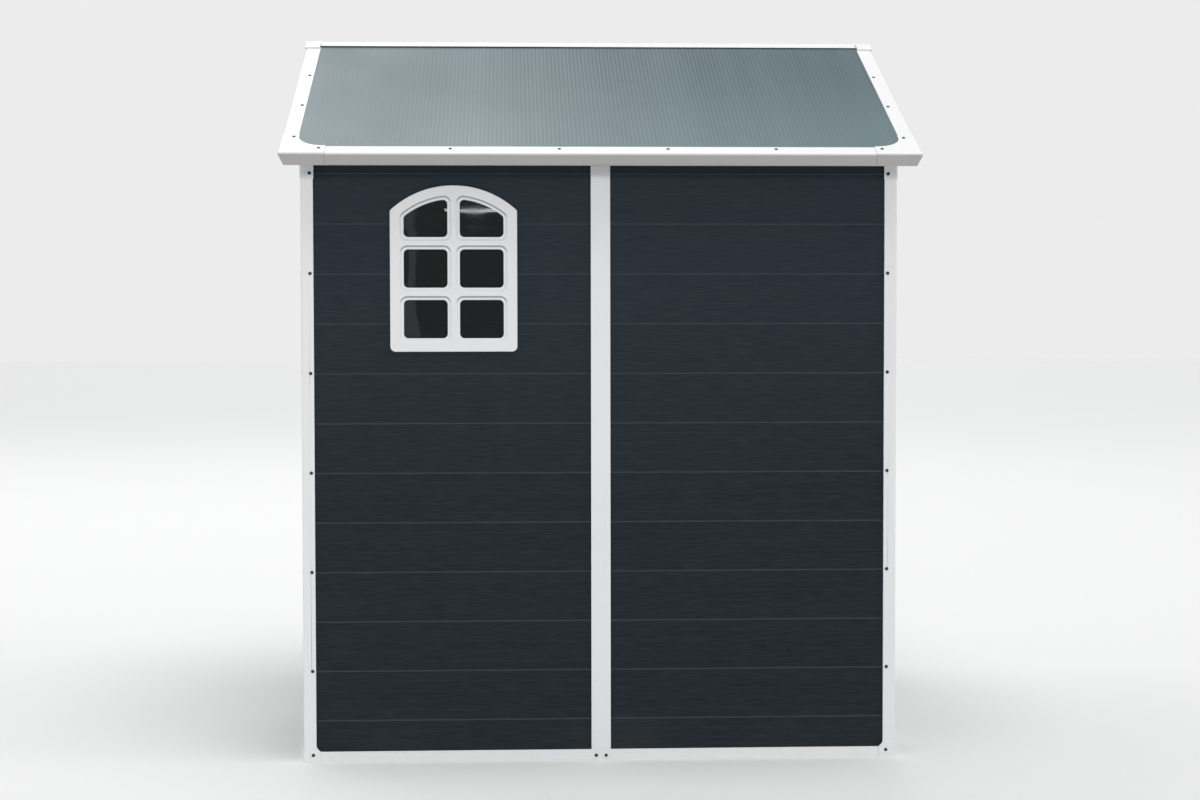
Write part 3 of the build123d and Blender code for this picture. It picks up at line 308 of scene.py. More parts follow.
# %% Roof sheet
def roof_sheet():
    recipe = Recipe("roof_sheet", coat_weight=0.15, coat_roughness=0.3)
    x, y, z = recipe.place()
    flute = (x * (1 / FLUTE)).fraction()
    web = flute.ramp(0.0, 0.16, 1.0, 0.0) + flute.ramp(0.84, 1.0)
    bands = recipe.noise(recipe.stretched(x * 6.5, 0.0, 0.0), scale=1.0, detail=2.0)
    haze = recipe.noise(recipe.stretched(x * 1.2, y * 0.8, z), scale=2.0, detail=4.0)
    dust = z.ramp(1.80, 2.20, 0.4, 0.0)
    base = recipe.blend(bands.ramp(0.3, 0.7), colour(76, 98, 104), colour(86, 108, 114))
    base = recipe.blend(web * 0.45, base, colour(108, 128, 133))
    base = recipe.blend(haze.ramp(0.35, 0.8) * 0.3, base, colour(70, 91, 96))
    recipe.feed("Base Color", recipe.blend(dust, base, colour(128, 148, 152)))
    recipe.feed("Roughness", haze.ramp(0.2, 0.8, 0.34, 0.44) + web * 0.06)
    speck = recipe.noise(recipe.stretched(x, y, z), scale=520.0, detail=2.0)
    recipe.bump(speck, depth=0.00008)
    return recipe.material


# %% [markdown]
# ## Metals, rubber, floor and clear sheet
#
# The hinges, the latch and the bolts are zinc plated and show its soft
# spangle. The beam and the rafters are plain drawn aluminium with streaks
# along their length. The screws are painted black. The window's clear sheet
# lets light through and mirrors the sky at a slant.


# %% The other finishes
def zinc_steel():
    recipe = Recipe("zinc_steel", metallic=1.0)
    point = recipe.stretched(*recipe.place())
    spangle = recipe.node("TexVoronoi", None, {"Vector": point, "Scale": 160.0}, out="Color")
    grey = recipe.node("RGBToBW", None, {0: spangle})
    smear = recipe.noise(point, scale=60.0, detail=4.0)
    base = recipe.blend(grey, colour(172, 174, 178), colour(192, 194, 196))
    recipe.feed("Base Color", base)
    recipe.feed("Roughness", grey.ramp(0.0, 1.0, 0.28, 0.40) + smear * 0.10)
    recipe.bump(smear, depth=0.00006)
    return recipe.material


def aluminium():
    recipe = Recipe("aluminium", metallic=1.0)
    x, y, z = recipe.place()
    streak = recipe.noise(recipe.stretched(x * 3.0, y * 260.0, z * 260.0), scale=1.0)
    base = recipe.blend(streak, colour(186, 188, 190), colour(206, 207, 208))
    recipe.feed("Base Color", base)
    recipe.feed("Roughness", streak.ramp(0.2, 0.8, 0.30, 0.46))
    recipe.bump(streak, depth=0.00005)
    return recipe.material


def black_screw():
    recipe = Recipe("black_screw")
    point = recipe.stretched(*recipe.place())
    worn = recipe.noise(point, scale=1400.0).ramp(0.60, 0.75)
    recipe.feed("Base Color", recipe.blend(worn * 0.4, colour(26, 27, 29), colour(92, 94, 97)))
    recipe.feed("Roughness", worn.ramp(0.0, 1.0, 0.34, 0.55))
    recipe.bump(recipe.noise(point, scale=2600.0, detail=2.0), depth=0.00004)
    return recipe.material


def black_seal():
    recipe = Recipe("black_seal")
    point = recipe.stretched(*recipe.place())
    dull = recipe.noise(point, scale=300.0)
    recipe.feed("Base Color", recipe.blend(dull, colour(24, 25, 26), colour(38, 39, 40)))
    recipe.feed("Roughness", dull.ramp(0.2, 0.8, 0.7, 0.85))
    return recipe.material


def floor_board():
    recipe = Recipe("floor_board")
    x, y, z = recipe.place()
    point = recipe.stretched(x, y, z)
    speckle = recipe.noise(point, scale=420.0, detail=2.0)
    drawn = recipe.stretched(x * 9.0, y * 2.0, z)
    scuffs = recipe.noise(drawn, scale=1.0, detail=6.0).ramp(0.5, 0.8)
    base = recipe.blend(speckle, colour(98, 100, 102), colour(122, 124, 126))
    recipe.feed("Base Color", recipe.blend(scuffs * 0.3, base, colour(146, 146, 142)))
    recipe.feed("Roughness", scuffs.ramp(0.0, 1.0, 0.55, 0.7))
    recipe.bump(speckle, depth=0.0003)
    return recipe.material


def clear_glazing():
    recipe = Recipe(
        "clear_glazing",
        transmission_weight=1.0,
        ior=1.45,
        specular_ior_level=0.16,
        base_color=(0.54, 0.58, 0.61, 1.0),
    )
    point = recipe.stretched(*recipe.place())
    smear = recipe.noise(point, scale=7.0, detail=4.0)
    recipe.feed("Roughness", smear.ramp(0.3, 0.8, 0.0, 0.03))
    return recipe.material


FINISHES = {
    # the colour given here is the painted shade on faces that look down
    "white_pvc": white_pvc("white_pvc", colour(206, 206, 207)),
    "dark_board": dark_board(),
    "roof_sheet": roof_sheet(),
    "zinc_steel": zinc_steel(),
    "aluminium": aluminium(),
    "black_screw": black_screw(),
    "black_seal": black_seal(),
    "floor_board": floor_board(),
    "clear_glazing": clear_glazing(),
}
# the roof's edging and the window's frame get a darker painted shade, the edging on every face
# that doesn't look well up
EDGING_PAINTED_SHADE_WHITE = white_pvc("white_edging_painted_shade", colour(168, 166, 165), full_white=0.6)
FRAME_PAINTED_SHADE_WHITE = white_pvc("white_frame_painted_shade", colour(160, 160, 161))


def finish(piece, slot):
    """Gives a piece one finish all over."""
    piece.data.materials.clear()
    piece.data.materials.append(FINISHES[slot])


for name, node in nodes.items():
    finish(node, slot_of[name])
print("finishes:", ", ".join(FINISHES))

# %% [markdown]
# ## Rounded edges
#
# Nothing that comes out of a mould or a die has a knife edge. A small round
# catches a thin line of light, and without it plastic looks like paper. The
# exact model leaves most edges sharp, so each profile is copied, its loose
# triangles are merged back into whole faces, and a Bevel modifier rounds every
# sharp edge. Weighted normals keep the flat faces flat. The modifiers are then
# applied, and the copy stands for the original.
#
# A screw hole splits the face round it into odd pieces, which a bevel tears. It
# lies under a screw head and can't be seen, so the copy closes it first. The
# roof's edging is rolled at its outer edge, which gets a wider round of its own.


# %% A rounded copy of a profile
SCREW_HOLE = 0.008
SAME_POINT = 2e-5
FLAT = math.radians(0.6)


def touching(edges):
    """The groups of edges that touch one another."""
    left = set(edges)
    while left:
        border = [left.pop()]
        group = list(border)
        while border:
            near = {e for vert in border.pop().verts for e in vert.link_edges} & left
            left -= near
            group += near
            border += near
        yield group


def span(edges):
    """The longest side of the box round some edges."""
    points = [vert.co for edge in edges for vert in edge.verts]
    return max(max(p[i] for p in points) - min(p[i] for p in points) for i in range(3))


def close_screw_holes(bm, sharpest):
    """Closes the screw holes, which are all under screw heads."""
    sharp = [
        edge for edge in bm.edges
        if len(edge.link_faces) == 2 and edge.calc_face_angle() > math.radians(sharpest)
    ]
    rims = [group for group in touching(sharp) if span(group) < SCREW_HOLE]
    verts = {vert for group in rims for edge in group for vert in edge.verts}
    walls = [face for face in bm.faces if verts.issuperset(face.verts)]
    bmesh.ops.delete(bm, geom=walls, context="FACES")
    rim_edges = [edge for edge in bm.edges if edge.is_boundary]
    bmesh.ops.holes_fill(bm, edges=rim_edges, sides=0)
    bmesh.ops.recalc_face_normals(bm, faces=bm.faces)
    bmesh.ops.dissolve_limit(bm, angle_limit=FLAT, verts=bm.verts, edges=bm.edges)


def whole_faces(node, sharpest, holes, reshape):
    """A copy of a node's mesh with its triangles merged into flat faces."""
    mesh = nodes[node].data.copy()
    bm = bmesh.new()
    bm.from_mesh(mesh)
    bmesh.ops.remove_doubles(bm, verts=bm.verts, dist=SAME_POINT)
    bmesh.ops.dissolve_limit(bm, angle_limit=FLAT, verts=bm.verts, edges=bm.edges)
    if not holes:
        close_screw_holes(bm, sharpest)
    if reshape:
        bm.normal_update()
        reshape(bm)
    bm.to_mesh(mesh)
    bm.free()
    return mesh


def empty_piece(name, mesh=None):
    """A new object at the origin, in the scene."""
    piece = bpy.data.objects.new(name, mesh or bpy.data.meshes.new(name))
    bpy.context.scene.collection.objects.link(piece)
    return piece


def baked(piece, name):
    """The piece with its modifiers turned into a plain mesh."""
    evaluated = piece.evaluated_get(bpy.context.evaluated_depsgraph_get())
    mesh = bpy.data.meshes.new_from_object(evaluated)
    piece.modifiers.clear()
    piece.data = mesh
    piece.name = name
    return piece


def stand_in(piece, node):
    """Puts a finished piece in the place of a node, on the node's body."""
    finish(piece, slot_of[node])
    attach(piece, body_of[node])
    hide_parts(node)
    return piece


def rounded(node, radius, segments=2, sharpest=32, holes=True, reshape=None):
    """A node's copy with every edge sharper than an angle rounded."""
    piece = empty_piece("rounded_" + node, whole_faces(node, sharpest, holes, reshape))
    bevel = piece.modifiers.new("round", "BEVEL")
    bevel.width = radius
    bevel.segments = segments
    bevel.limit_method = "ANGLE"
    bevel.angle_limit = math.radians(sharpest)
    bevel.use_clamp_overlap = False
    bevel.harden_normals = False
    weighted = piece.modifiers.new("flat", "WEIGHTED_NORMAL")
    weighted.keep_sharp = True
    piece.data.shade_smooth()
    baked(piece, "rounded_" + node)
    return stand_in(piece, node)


# %% Round the profiles
EXTRUSION_EDGE = 0.0008
MOULDED_EDGE = 0.0012
METAL_EDGE = 0.0005
ROLLED_EDGE = 0.0080
ROLL_STEPS = 5
# the normal's Z of the edging's flange and of its lip
FLANGE_LEAST_Z = 0.8
LIP_LEAST_Z, LIP_MOST_Z = -0.5, -0.3


def roll_outer_edge(bm):
    """Rounds the roof edging where its flange turns down into its lip."""

    def turns_down(edge):
        up = sorted(face.normal.z for face in edge.link_faces)
        return len(up) == 2 and LIP_LEAST_Z < up[0] < LIP_MOST_Z and up[1] > FLANGE_LEAST_Z

    edges = [edge for edge in bm.edges if turns_down(edge)]
    bmesh.ops.bevel(
        bm, geom=edges, offset=ROLLED_EDGE, segments=ROLL_STEPS, profile=0.5, affect="EDGES"
    )


extrusions = [
    "base_rail_window_side", "base_rail_plain_side", "base_rail_rear", "door_sill",
    "corner_post_rear_window_side", "corner_post_front_window_side",
    "corner_post_rear_plain_side", "corner_post_front_plain_side", "joint_posts",
    "wall_plate_window_side", "wall_plate_plain_side", "tie_rail_rear", "door_head",
    "door_jambs", "door_stiles_active", "door_rails_active", "door_stiles_passive",
    "door_rails_passive", "ridge_cap",
]
edging = ["eave_strips", "rake_strips", "eave_corner_connectors"]
mouldings = [
    "base_corner_connectors", "top_corner_connectors",
    "ridge_end_caps", "window_inner_frame", "gable_vents",
]
metalwork = [
    "hinge_plates_frame", "hinge_plates_active", "hinge_plates_passive",
    "latch_guides", "latch_keeper", "latch_bar", "top_bolt", "bottom_bolt", "bolt_guides",
]
for node in extrusions:
    rounded(node, EXTRUSION_EDGE, holes=False)
for node in mouldings:
    rounded(node, MOULDED_EDGE, segments=3, holes=False)
for node in edging:
    piece = rounded(node, EXTRUSION_EDGE, holes=False, reshape=roll_outer_edge)
    # painted shade on the edging's lip, which faces down and out
    piece.data.materials[0] = EDGING_PAINTED_SHADE_WHITE
for node in metalwork:
    rounded(node, METAL_EDGE)
print("rounded", len(extrusions) + len(edging) + len(mouldings) + len(metalwork), "profiles")

# %% [markdown]
# ## The window's frame
#
# Round each of the six panes the frame steps back to a lower lip. A mould
# can't let go of a square step, so the step is a slope, and its upper run is in
# shade, deepened by painted shade in the frame's material, while its lower run
# catches the light. The model has the square step, and the slope is made by
# moving the step's front corners back into the face.

# %% Slope the steps
LIP_SLOPE = 0.0048
LEAST_MITRE = 0.5
FRAME_EDGE = 0.0007


def slope_steps(bm):
    """Moves the front corners of every step out, so that its wall leans."""
    front = min(vert.co.y for vert in bm.verts)
    moves = {}
    for edge in bm.edges:
        at_front = all(abs(vert.co.y - front) < 1e-5 for vert in edge.verts)
        walls = [face for face in edge.link_faces if abs(face.normal.y) < 0.05]
        if at_front and walls:
            for vert in edge.verts:
                moves.setdefault(vert, []).append(walls[0].normal.copy())
    for vert, normals in moves.items():
        way = sum(normals, Vector()).normalized()
        # a corner moves further than an edge
        mitre = max(way.dot(normals[0]), LEAST_MITRE)
        vert.co -= way * LIP_SLOPE / mitre
    bm.normal_update()


frame_piece = rounded("window_outer_frame", FRAME_EDGE, reshape=slope_steps)
# painted shade on the frame's slopes that face down
frame_piece.data.materials[0] = FRAME_PAINTED_SHADE_WHITE
print(frame_piece.name, len(frame_piece.data.polygons), "faces")

# %% [markdown]
# ## The fluted roof
#
# Twin-wall sheet is soft between its webs, so each flute's skin sinks by a
# fraction of a millimetre and the sheet glints in fine ribs. The shape follows
# a rule, so Geometry Nodes make it: a box with four strips to each flute, and
# a Set Position node that sinks a point by how far it is from its web. The
# same tree makes both sheets, and a change of pitch is one number.


# %% A tree builder for Geometry Nodes
class GeometryTree:
    """A Geometry Nodes tree with named inputs."""

    def __init__(self, name, inputs):
        self.tree = bpy.data.node_groups.new(name, "GeometryNodeTree")
        face = self.tree.interface
        face.new_socket("Geometry", in_out="INPUT", socket_type="NodeSocketGeometry")
        self.ids = {}
        for label, kind in inputs.items():
            socket = face.new_socket(label, in_out="INPUT", socket_type="NodeSocket" + kind)
            self.ids[label] = socket.identifier
        face.new_socket("Geometry", in_out="OUTPUT", socket_type="NodeSocketGeometry")
        self.given = self.tree.nodes.new("NodeGroupInput")
        self.result = self.tree.nodes.new("NodeGroupOutput")

    def __getitem__(self, label):
        return self.given.outputs[label]

    def node(self, kind, settings=None, sockets=None, out=0):
        made = self.tree.nodes.new(kind)
        for name, setting in (settings or {}).items():
            setattr(made, name, setting)
        for name, value in (sockets or {}).items():
            if isinstance(value, bpy.types.NodeSocket):
                self.tree.links.new(value, made.inputs[name])
            else:
                made.inputs[name].default_value = value
        return made.outputs[out]

    def maths(self, operation, *values):
        return self.node("ShaderNodeMath", {"operation": operation}, dict(enumerate(values)))

    def end(self, geometry, material):
        real = self.node("GeometryNodeRealizeInstances", None, {0: geometry})
        dressed = self.node(
            "GeometryNodeSetMaterial", None, {"Geometry": real, "Material": material}
        )
        self.tree.links.new(dressed, self.result.inputs[0])

    def make(self, piece, name, **values):
        """Runs the tree on a piece and keeps the result as a plain mesh."""
        modifier = piece.modifiers.new(name, "NODES")
        modifier.node_group = self.tree
        for label, value in values.items():
            modifier[self.ids[label.replace("_", " ")]] = value
        return baked(piece, name)


# %% The sheet's tree
STRIPS = 4
SAG = 0.0005
WEB_EDGE = math.radians(30)


def fluted_sheet_tree():
    """A flat sheet in its own plane, its skins sunk between the webs."""
    tree = GeometryTree(
        "fluted sheet",
        {
            "Size": "Vector",
            "Flutes": "Int",
            "Pitch": "Float",
            "Sag": "Float",
            "Material": "Material",
        },
    )
    strips = tree.maths("ADD", tree.maths("MULTIPLY", tree["Flutes"], STRIPS), 1)
    count = tree.node("FunctionNodeFloatToInt", None, {0: strips})
    box = tree.node(
        "GeometryNodeMeshCube",
        None,
        {"Size": tree["Size"], "Vertices X": count, "Vertices Y": 2, "Vertices Z": 2},
    )
    position = tree.node("GeometryNodeInputPosition")
    x = tree.node("ShaderNodeSeparateXYZ", None, {0: position}, out="X")
    z = tree.node("ShaderNodeSeparateXYZ", None, {0: position}, out="Z")
    # 0 at a web and 1 half way between two webs
    turn = tree.maths("MULTIPLY", tree.maths("DIVIDE", x, tree["Pitch"]), math.tau)
    twice = tree.maths("SUBTRACT", 1.0, tree.maths("COSINE", turn))
    depth = tree.maths("MULTIPLY", tree.maths("MULTIPLY", twice, 0.5), tree["Sag"])
    sink = tree.maths("MULTIPLY", depth, tree.maths("SIGN", z))
    move = tree.node("ShaderNodeCombineXYZ", None, {2: tree.maths("MULTIPLY", sink, -1.0)})
    shaped = tree.node("GeometryNodeSetPosition", None, {"Geometry": box, "Offset": move})
    smooth = tree.node("GeometryNodeSetShadeSmooth", None, {"Geometry": shaped})
    tree.end(smooth, tree["Material"])
    return tree


def roof_piece(node, tree):
    """One fluted sheet, laid on its slope over the node it stands for."""
    low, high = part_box(node)
    side = -1 if low.y + high.y < 0 else 1
    run = high.y - low.y - SHEET * math.sin(SLOPE)
    size = Vector((high.x - low.x, run / math.cos(SLOPE), SHEET))
    flutes = 2 * round(size.x / FLUTE / 2)
    piece = tree.make(
        empty_piece("fluted_" + node),
        "fluted_" + node,
        Size=size,
        Flutes=flutes,
        Pitch=size.x / flutes,
        Sag=SAG,
        Material=FINISHES["roof_sheet"],
    )
    middle = Vector((0, (low.y + high.y) / 2, (low.z + high.z) / 2))
    turn = Matrix.Rotation(-side * SLOPE, 4, "X")
    piece.data.transform(Matrix.Translation(middle) @ turn)
    piece.data.set_sharp_from_angle(angle=WEB_EDGE)
    return stand_in(piece, node)


sheet_tree = fluted_sheet_tree()
for node in ("roof_sheet_window_side", "roof_sheet_plain_side"):
    made = roof_piece(node, sheet_tree)
    print(made.name, len(made.data.polygons), "faces")

# %% [markdown]
# ## Screws
#
# The shed has 86 screws, all with the same black pan head. One head is turned
# on a lathe in mesh code with its cross recess, and a Geometry Nodes tree sets
# a copy at every place, square to its face and turned at random, because
# nobody lines up the slots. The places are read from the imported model: each
# loose solid in the screw nodes is one screw, taken in the order of its points
# so that every run turns the heads alike.


# %% One screw head
HEAD_RADIUS = 0.0052
HEAD_HEIGHT = 0.0024
HEAD_EDGE = math.radians(40)
RING = 24
# the dome's outline and the recess, in head radii across and head heights up
DOME = [(1.00, 0.00), (1.00, 0.28), (0.97, 0.45), (0.86, 0.72), (0.66, 0.90), (0.40, 0.99)]
ARM_REACH, ARM_GAP, ARM_HALF_ANGLE = 0.34, 0.13, 0.2
PIT_WIDTH, PIT_HEIGHT = 0.7, 0.35


def around(step):
    """The direction of one of a ring's points."""
    turn = math.tau * step / RING
    return Vector((math.cos(turn), math.sin(turn), 0))


def recess_reach(step):
    """How far the cross recess reaches from the middle at a ring's point."""
    turn = math.tau * step / RING
    off_arm = abs((turn + math.pi / 4) % (math.pi / 2) - math.pi / 4)
    return ARM_REACH if off_arm < ARM_HALF_ANGLE else ARM_GAP


def screw_head():
    """A domed pan head with a cross recess, standing on z = 0."""
    bm = bmesh.new()

    def ring(reaches, up, width=1.0):
        """A ring of points, each as far out as its own reach says."""
        lift = Vector((0, 0, up * HEAD_HEIGHT))
        return [
            bm.verts.new(around(step) * reach * HEAD_RADIUS * width + lift)
            for step, reach in enumerate(reaches)
        ]

    def join(outer, inner):
        """A band of faces between two rings."""
        for step in range(RING):
            after = (step + 1) % RING
            bm.faces.new((outer[step], outer[after], inner[after], inner[step]))

    rings = [ring([radius] * RING, up) for radius, up in DOME]
    for low, high in zip(rings, rings[1:]):
        join(low, high)
    bm.faces.new(list(reversed(rings[0])))
    arms = [recess_reach(step) for step in range(RING)]
    lip = ring(arms, 1.0)
    pit = ring(arms, PIT_HEIGHT, PIT_WIDTH)
    join(rings[-1], lip)
    join(lip, pit)
    bm.faces.new(pit)
    bmesh.ops.recalc_face_normals(bm, faces=bm.faces)
    mesh = bpy.data.meshes.new("screw_head")
    bm.to_mesh(mesh)
    bm.free()
    mesh.shade_smooth()
    mesh.set_sharp_from_angle(angle=HEAD_EDGE)
    return mesh


# %% Where the screws are
HEAD_TOLERANCE = 5e-4
CROWN_DEPTH = 1e-5


def islands(mesh):
    """The separate solids of a mesh, each as a list of points."""
    bm = bmesh.new()
    bm.from_mesh(mesh)
    bmesh.ops.remove_doubles(bm, verts=bm.verts, dist=1e-6)
    unseen = set(bm.verts)
    found = []
    for start in bm.verts:
        if start not in unseen:
            continue
        unseen.discard(start)
        group, border = [start], [start]
        while border:
            vert = border.pop()
            for edge in vert.link_edges:
                other = edge.other_vert(vert)
                if other in unseen:
                    unseen.discard(other)
                    group.append(other)
                    border.append(other)
        found.append([vert.co.copy() for vert in group])
    bm.free()
    return found


def screw_place(points):
    """(seat, direction) of one screw: its head's under side and its axis."""
    centre = sum(points, Vector()) / len(points)
    spread = [max(p[axis] for p in points) - min(p[axis] for p in points) for axis in range(3)]
    if centre.z < WALL_TOP:
        round_in_y = abs(spread[1] - 2 * HEAD_RADIUS) < HEAD_TOLERANCE
        axis = 0 if spread[0] > spread[1] and round_in_y else 1
        direction = Vector((0, 0, 0))
        direction[axis] = math.copysign(1.0, centre[axis])
    else:
        side = math.copysign(1.0, centre.y)
        direction = Vector((0, side * math.sin(SLOPE), math.cos(SLOPE)))
    top = max(p.dot(direction) for p in points)
    reach = [p for p in points if p.dot(direction) > top - CROWN_DEPTH]
    crown = sum(reach, Vector()) / len(reach)
    return crown - direction * HEAD_HEIGHT, direction


# %% The screws' tree
def screw_tree():
    """A head at each point, set along the point's direction."""
    tree = GeometryTree(
        "screws",
        {"Head": "Object", "Seed": "Int", "Material": "Material"},
    )
    head = tree.node("GeometryNodeObjectInfo", None, {"Object": tree["Head"]}, out="Geometry")
    direction = tree.node(
        "GeometryNodeInputNamedAttribute",
        {"data_type": "FLOAT_VECTOR"},
        {"Name": "direction"},
    )
    square = tree.node(
        "FunctionNodeAlignRotationToVector", {"axis": "Z"}, {"Vector": direction}
    )
    turn = tree.node(
        "FunctionNodeRandomValue",
        {"data_type": "FLOAT"},
        {2: 0.0, 3: math.tau, "Seed": tree["Seed"]},
        out=1,
    )
    about = tree.node(
        "FunctionNodeAxisAngleToRotation", None, {"Axis": (0, 0, 1), "Angle": turn}
    )
    both = tree.node(
        "FunctionNodeRotateRotation",
        {"rotation_space": "LOCAL"},
        {"Rotation": square, "Rotate By": about},
    )
    copies = tree.node(
        "GeometryNodeInstanceOnPoints",
        None,
        {"Points": tree["Geometry"], "Instance": head, "Rotation": both},
    )
    tree.end(copies, tree["Material"])
    return tree


def screws_of(node, tree, head, seed):
    """Every screw of a node, as one piece."""
    places = [screw_place(points) for points in islands(nodes[node].data)]
    mesh = bpy.data.meshes.new("places")
    mesh.from_pydata([seat for seat, _ in places], [], [])
    store = mesh.attributes.new("direction", "FLOAT_VECTOR", "POINT")
    for index, (_, direction) in enumerate(places):
        store.data[index].vector = direction
    name = "heads_of_" + node
    piece = empty_piece(name, mesh)
    tree.make(piece, name, Head=head, Seed=seed, Material=FINISHES["black_screw"])
    print(piece.name, len(places), "screws")
    return stand_in(piece, node)


pattern = empty_piece("screw_pattern", screw_head())
heads = screw_tree()
screws_of("wall_screws", heads, pattern, 3)
screws_of("roof_screws", heads, pattern, 8)
bpy.data.objects.remove(pattern)

# %% [markdown]
# ## The clear sheet in the window
#
# The window is glazed with a thin clear sheet, clamped at its edge between two
# frames. It is never quite flat, and the slow waves in it bend the reflections
# into bright streaks. A grid is laid under the arch, each column as tall as
# the arch above it, and pushed back by slow noise that fades to nothing at the
# clamped edge. A Solidify modifier then gives it its thickness.

# %% Wavy glazing
COLUMNS, ROWS = 48, 64
WAVE = 0.0009
WAVES_ACROSS, WAVES_UP, WAVE_SEED = 7, 4, 1.7
CLAMP_FADE = 5  # the waves are full a fifth of the way in
GLAZING = 0.0010
ARCH_RISE = 0.0665
SIDE_ROOM = 0.985  # the grid stays a little inside the sheet's box
END_ROOM = 0.003
FRONT_ROOM = 0.0001


def arch_height(across, low, high):
    """Height of the glazing's arch at a fraction across, -1 to 1."""
    half = (high.x - low.x) / 2
    radius = (half**2 + ARCH_RISE**2) / (2 * ARCH_RISE)
    return high.z - radius + math.sqrt(radius**2 - (across * half) ** 2)


def wavy_glazing(node):
    """A clear sheet for a node, wavy but flat where it is clamped."""
    low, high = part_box(node)
    middle, half = (low.x + high.x) / 2, (high.x - low.x) / 2
    bm = bmesh.new()
    grid = []
    for column in range(COLUMNS + 1):
        across = 2 * column / COLUMNS - 1
        top = arch_height(across * SIDE_ROOM, low, high)
        x = middle + across * half * SIDE_ROOM
        line = []
        for row in range(ROWS + 1):
            up = row / ROWS
            z = low.z + END_ROOM + up * (top - low.z - 2 * END_ROOM)
            free = min(1 - abs(across), up, 1 - up) * CLAMP_FADE
            at = Vector((x * WAVES_ACROSS, z * WAVES_UP, WAVE_SEED))
            wave = noise.noise(at) * 0.5 + 0.5
            y = low.y + FRONT_ROOM + WAVE * wave * min(free, 1)
            line.append(bm.verts.new((x, y, z)))
        grid.append(line)
    for left, right in zip(grid, grid[1:]):
        for row in range(ROWS):
            bm.faces.new((left[row], right[row], right[row + 1], left[row + 1]))
    mesh = bpy.data.meshes.new("wavy")
    bm.to_mesh(mesh)
    bm.free()
    piece = empty_piece("wavy_" + node, mesh)
    shell = piece.modifiers.new("thickness", "SOLIDIFY")
    shell.thickness = GLAZING
    shell.offset = -1
    mesh.shade_smooth()
    baked(piece, "wavy_" + node)
    return stand_in(piece, node)


glass = wavy_glazing("window_glazing")
print(glass.name, len(glass.data.polygons), "faces")

# %% [markdown]
# ## Studio
#
# The shed stands on a plain pale floor in a white room. The light is that of a
# big studio: a soft glow from all round, one broad light overhead that whitens
# whatever faces up, and a low one from each side, because a light placed high
# would throw a long shadow from the eaves. Three softboxes are there mostly to
# be mirrored: a large one behind and to the left by the glossy roof, and a
# panel and a thin strip in front by the window.


# %% Floor and lights
ROOM_GLOW = 0.32
ROOM_WHITE = 0.84
FLOOR_REACH = 60.0


def studio_floor():
    """A plain pale floor, wide enough to reach out of sight."""
    recipe = Recipe("studio_floor", roughness=0.9, base_color=(0.84, 0.84, 0.835, 1.0))
    mesh = bpy.data.meshes.new("studio_floor")
    ways = ((-1, -1), (1, -1), (1, 1), (-1, 1))
    corners = [(x * FLOOR_REACH, y * FLOOR_REACH, 0) for x, y in ways]
    mesh.from_pydata(corners, [], [(0, 1, 2, 3)])
    floor = empty_piece("studio_floor", mesh)
    floor.data.materials.append(recipe.material)


def lamp(name, kind, place, aim, power):
    """A light of any kind at a place, aimed at a point."""
    light = bpy.data.lights.new(name, kind)
    light.energy = power
    made = bpy.data.objects.new(name, light)
    made.location = place
    made.rotation_euler = (Vector(aim) - Vector(place)).to_track_quat("-Z", "Y").to_euler()
    bpy.context.scene.collection.objects.link(made)
    return light


def far_light(name, azimuth, elevation, power, spread):
    """A light so far off that its rays are parallel, but with a soft edge."""
    turn, rise = math.radians(azimuth), math.radians(elevation)
    out = math.cos(rise)
    way = Vector((math.sin(turn) * out, -math.cos(turn) * out, math.sin(rise)))
    lamp(name, "SUN", way * 10, (0, 0, 0), power).angle = math.radians(spread)


def softbox(name, place, aim, width, height, power):
    """A glowing rectangle at a place, aimed at a point."""
    light = lamp(name, "AREA", place, aim, power)
    light.shape = "RECTANGLE"
    light.size, light.size_y = width, height


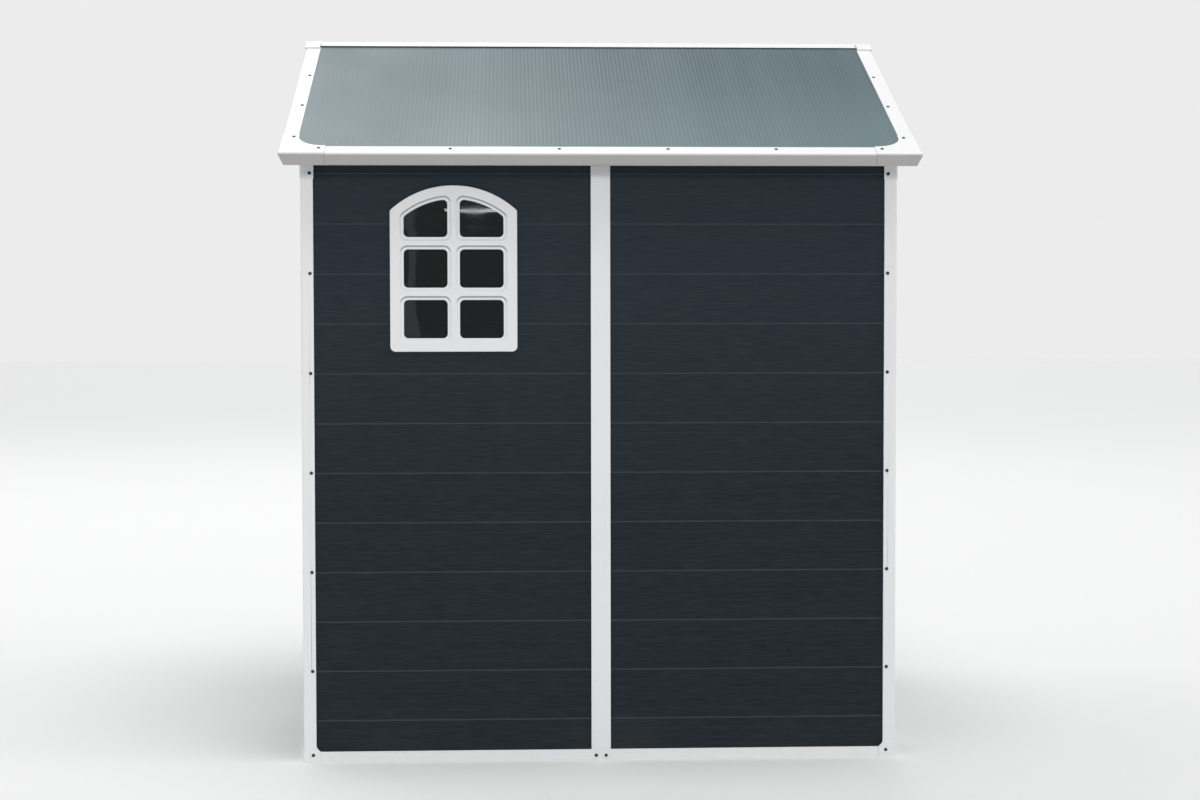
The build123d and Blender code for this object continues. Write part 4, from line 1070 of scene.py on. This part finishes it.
def room():
    """A white room that glows less than it looks, so that shapes keep shade."""
    world = bpy.data.worlds.new("studio")
    bpy.context.scene.world = world
    world.use_nodes = True
    tree = world.node_tree
    glow = tree.nodes["Background"]
    glow.inputs["Color"].default_value = (0.97, 0.985, 1.0, 1.0)
    glow.inputs["Strength"].default_value = ROOM_GLOW
    seen = tree.nodes.new("ShaderNodeBackground")
    seen.inputs["Color"].default_value = (1.0, 1.0, 1.0, 1.0)
    seen.inputs["Strength"].default_value = ROOM_WHITE
    path = tree.nodes.new("ShaderNodeLightPath")
    either = tree.nodes.new("ShaderNodeMixShader")
    tree.links.new(path.outputs["Is Camera Ray"], either.inputs["Fac"])
    tree.links.new(glow.outputs[0], either.inputs[1])
    tree.links.new(seen.outputs[0], either.inputs[2])
    tree.links.new(either.outputs[0], tree.nodes["World Output"].inputs["Surface"])


studio_floor()
room()
far_light("overhead", azimuth=20, elevation=75, power=1.6, spread=50)
far_light("front", azimuth=-8, elevation=12, power=0.78, spread=10)
far_light("door_side", azimuth=80, elevation=14, power=0.5, spread=20)
far_light("rear", azimuth=175, elevation=14, power=0.5, spread=20)
far_light("plain_end", azimuth=-100, elevation=14, power=0.4, spread=20)
softbox(
    "roof_glare",
    place=(-4.8, 8.5, 13.5), aim=(0, -0.5, 2.0), width=12.0, height=9.0, power=470,
)
softbox(
    "window_panel",
    place=(-1.42, -9.0, 1.5), aim=(-0.45, -0.8, 1.5), width=1.1, height=2.6, power=3.0,
)
softbox(
    "window_strip",
    place=(0.10, -9.0, 2.00), aim=(-0.45, -0.8, 1.6), width=1.6, height=0.024, power=1.0,
)
bpy.context.scene.view_settings.view_transform = "Standard"

# %% [markdown]
# ## Camera
#
# The camera stands a little left of the wall's middle at chest height, some
# six metres away, with a short portrait lens, turned slightly to the right.

# %% Camera
EYE = Vector((-0.282, WALL_FACE_Y - 6.408, 1.340))
TURN_RIGHT = math.radians(2.50)
LOOK_DOWN = math.radians(2.20)
TILT = math.radians(-0.084)
LENS, SENSOR = 63.7, 36.0

camera = bpy.data.objects.new("camera", bpy.data.cameras.new("camera"))
camera.data.lens = LENS
camera.data.sensor_width = SENSOR
camera.location = EYE
aim = Euler((math.pi / 2 - LOOK_DOWN, 0, -TURN_RIGHT)).to_matrix()
camera.rotation_euler = (aim @ Matrix.Rotation(TILT, 3, "Z")).to_euler()
bpy.context.scene.collection.objects.link(camera)
bpy.context.scene.camera = camera
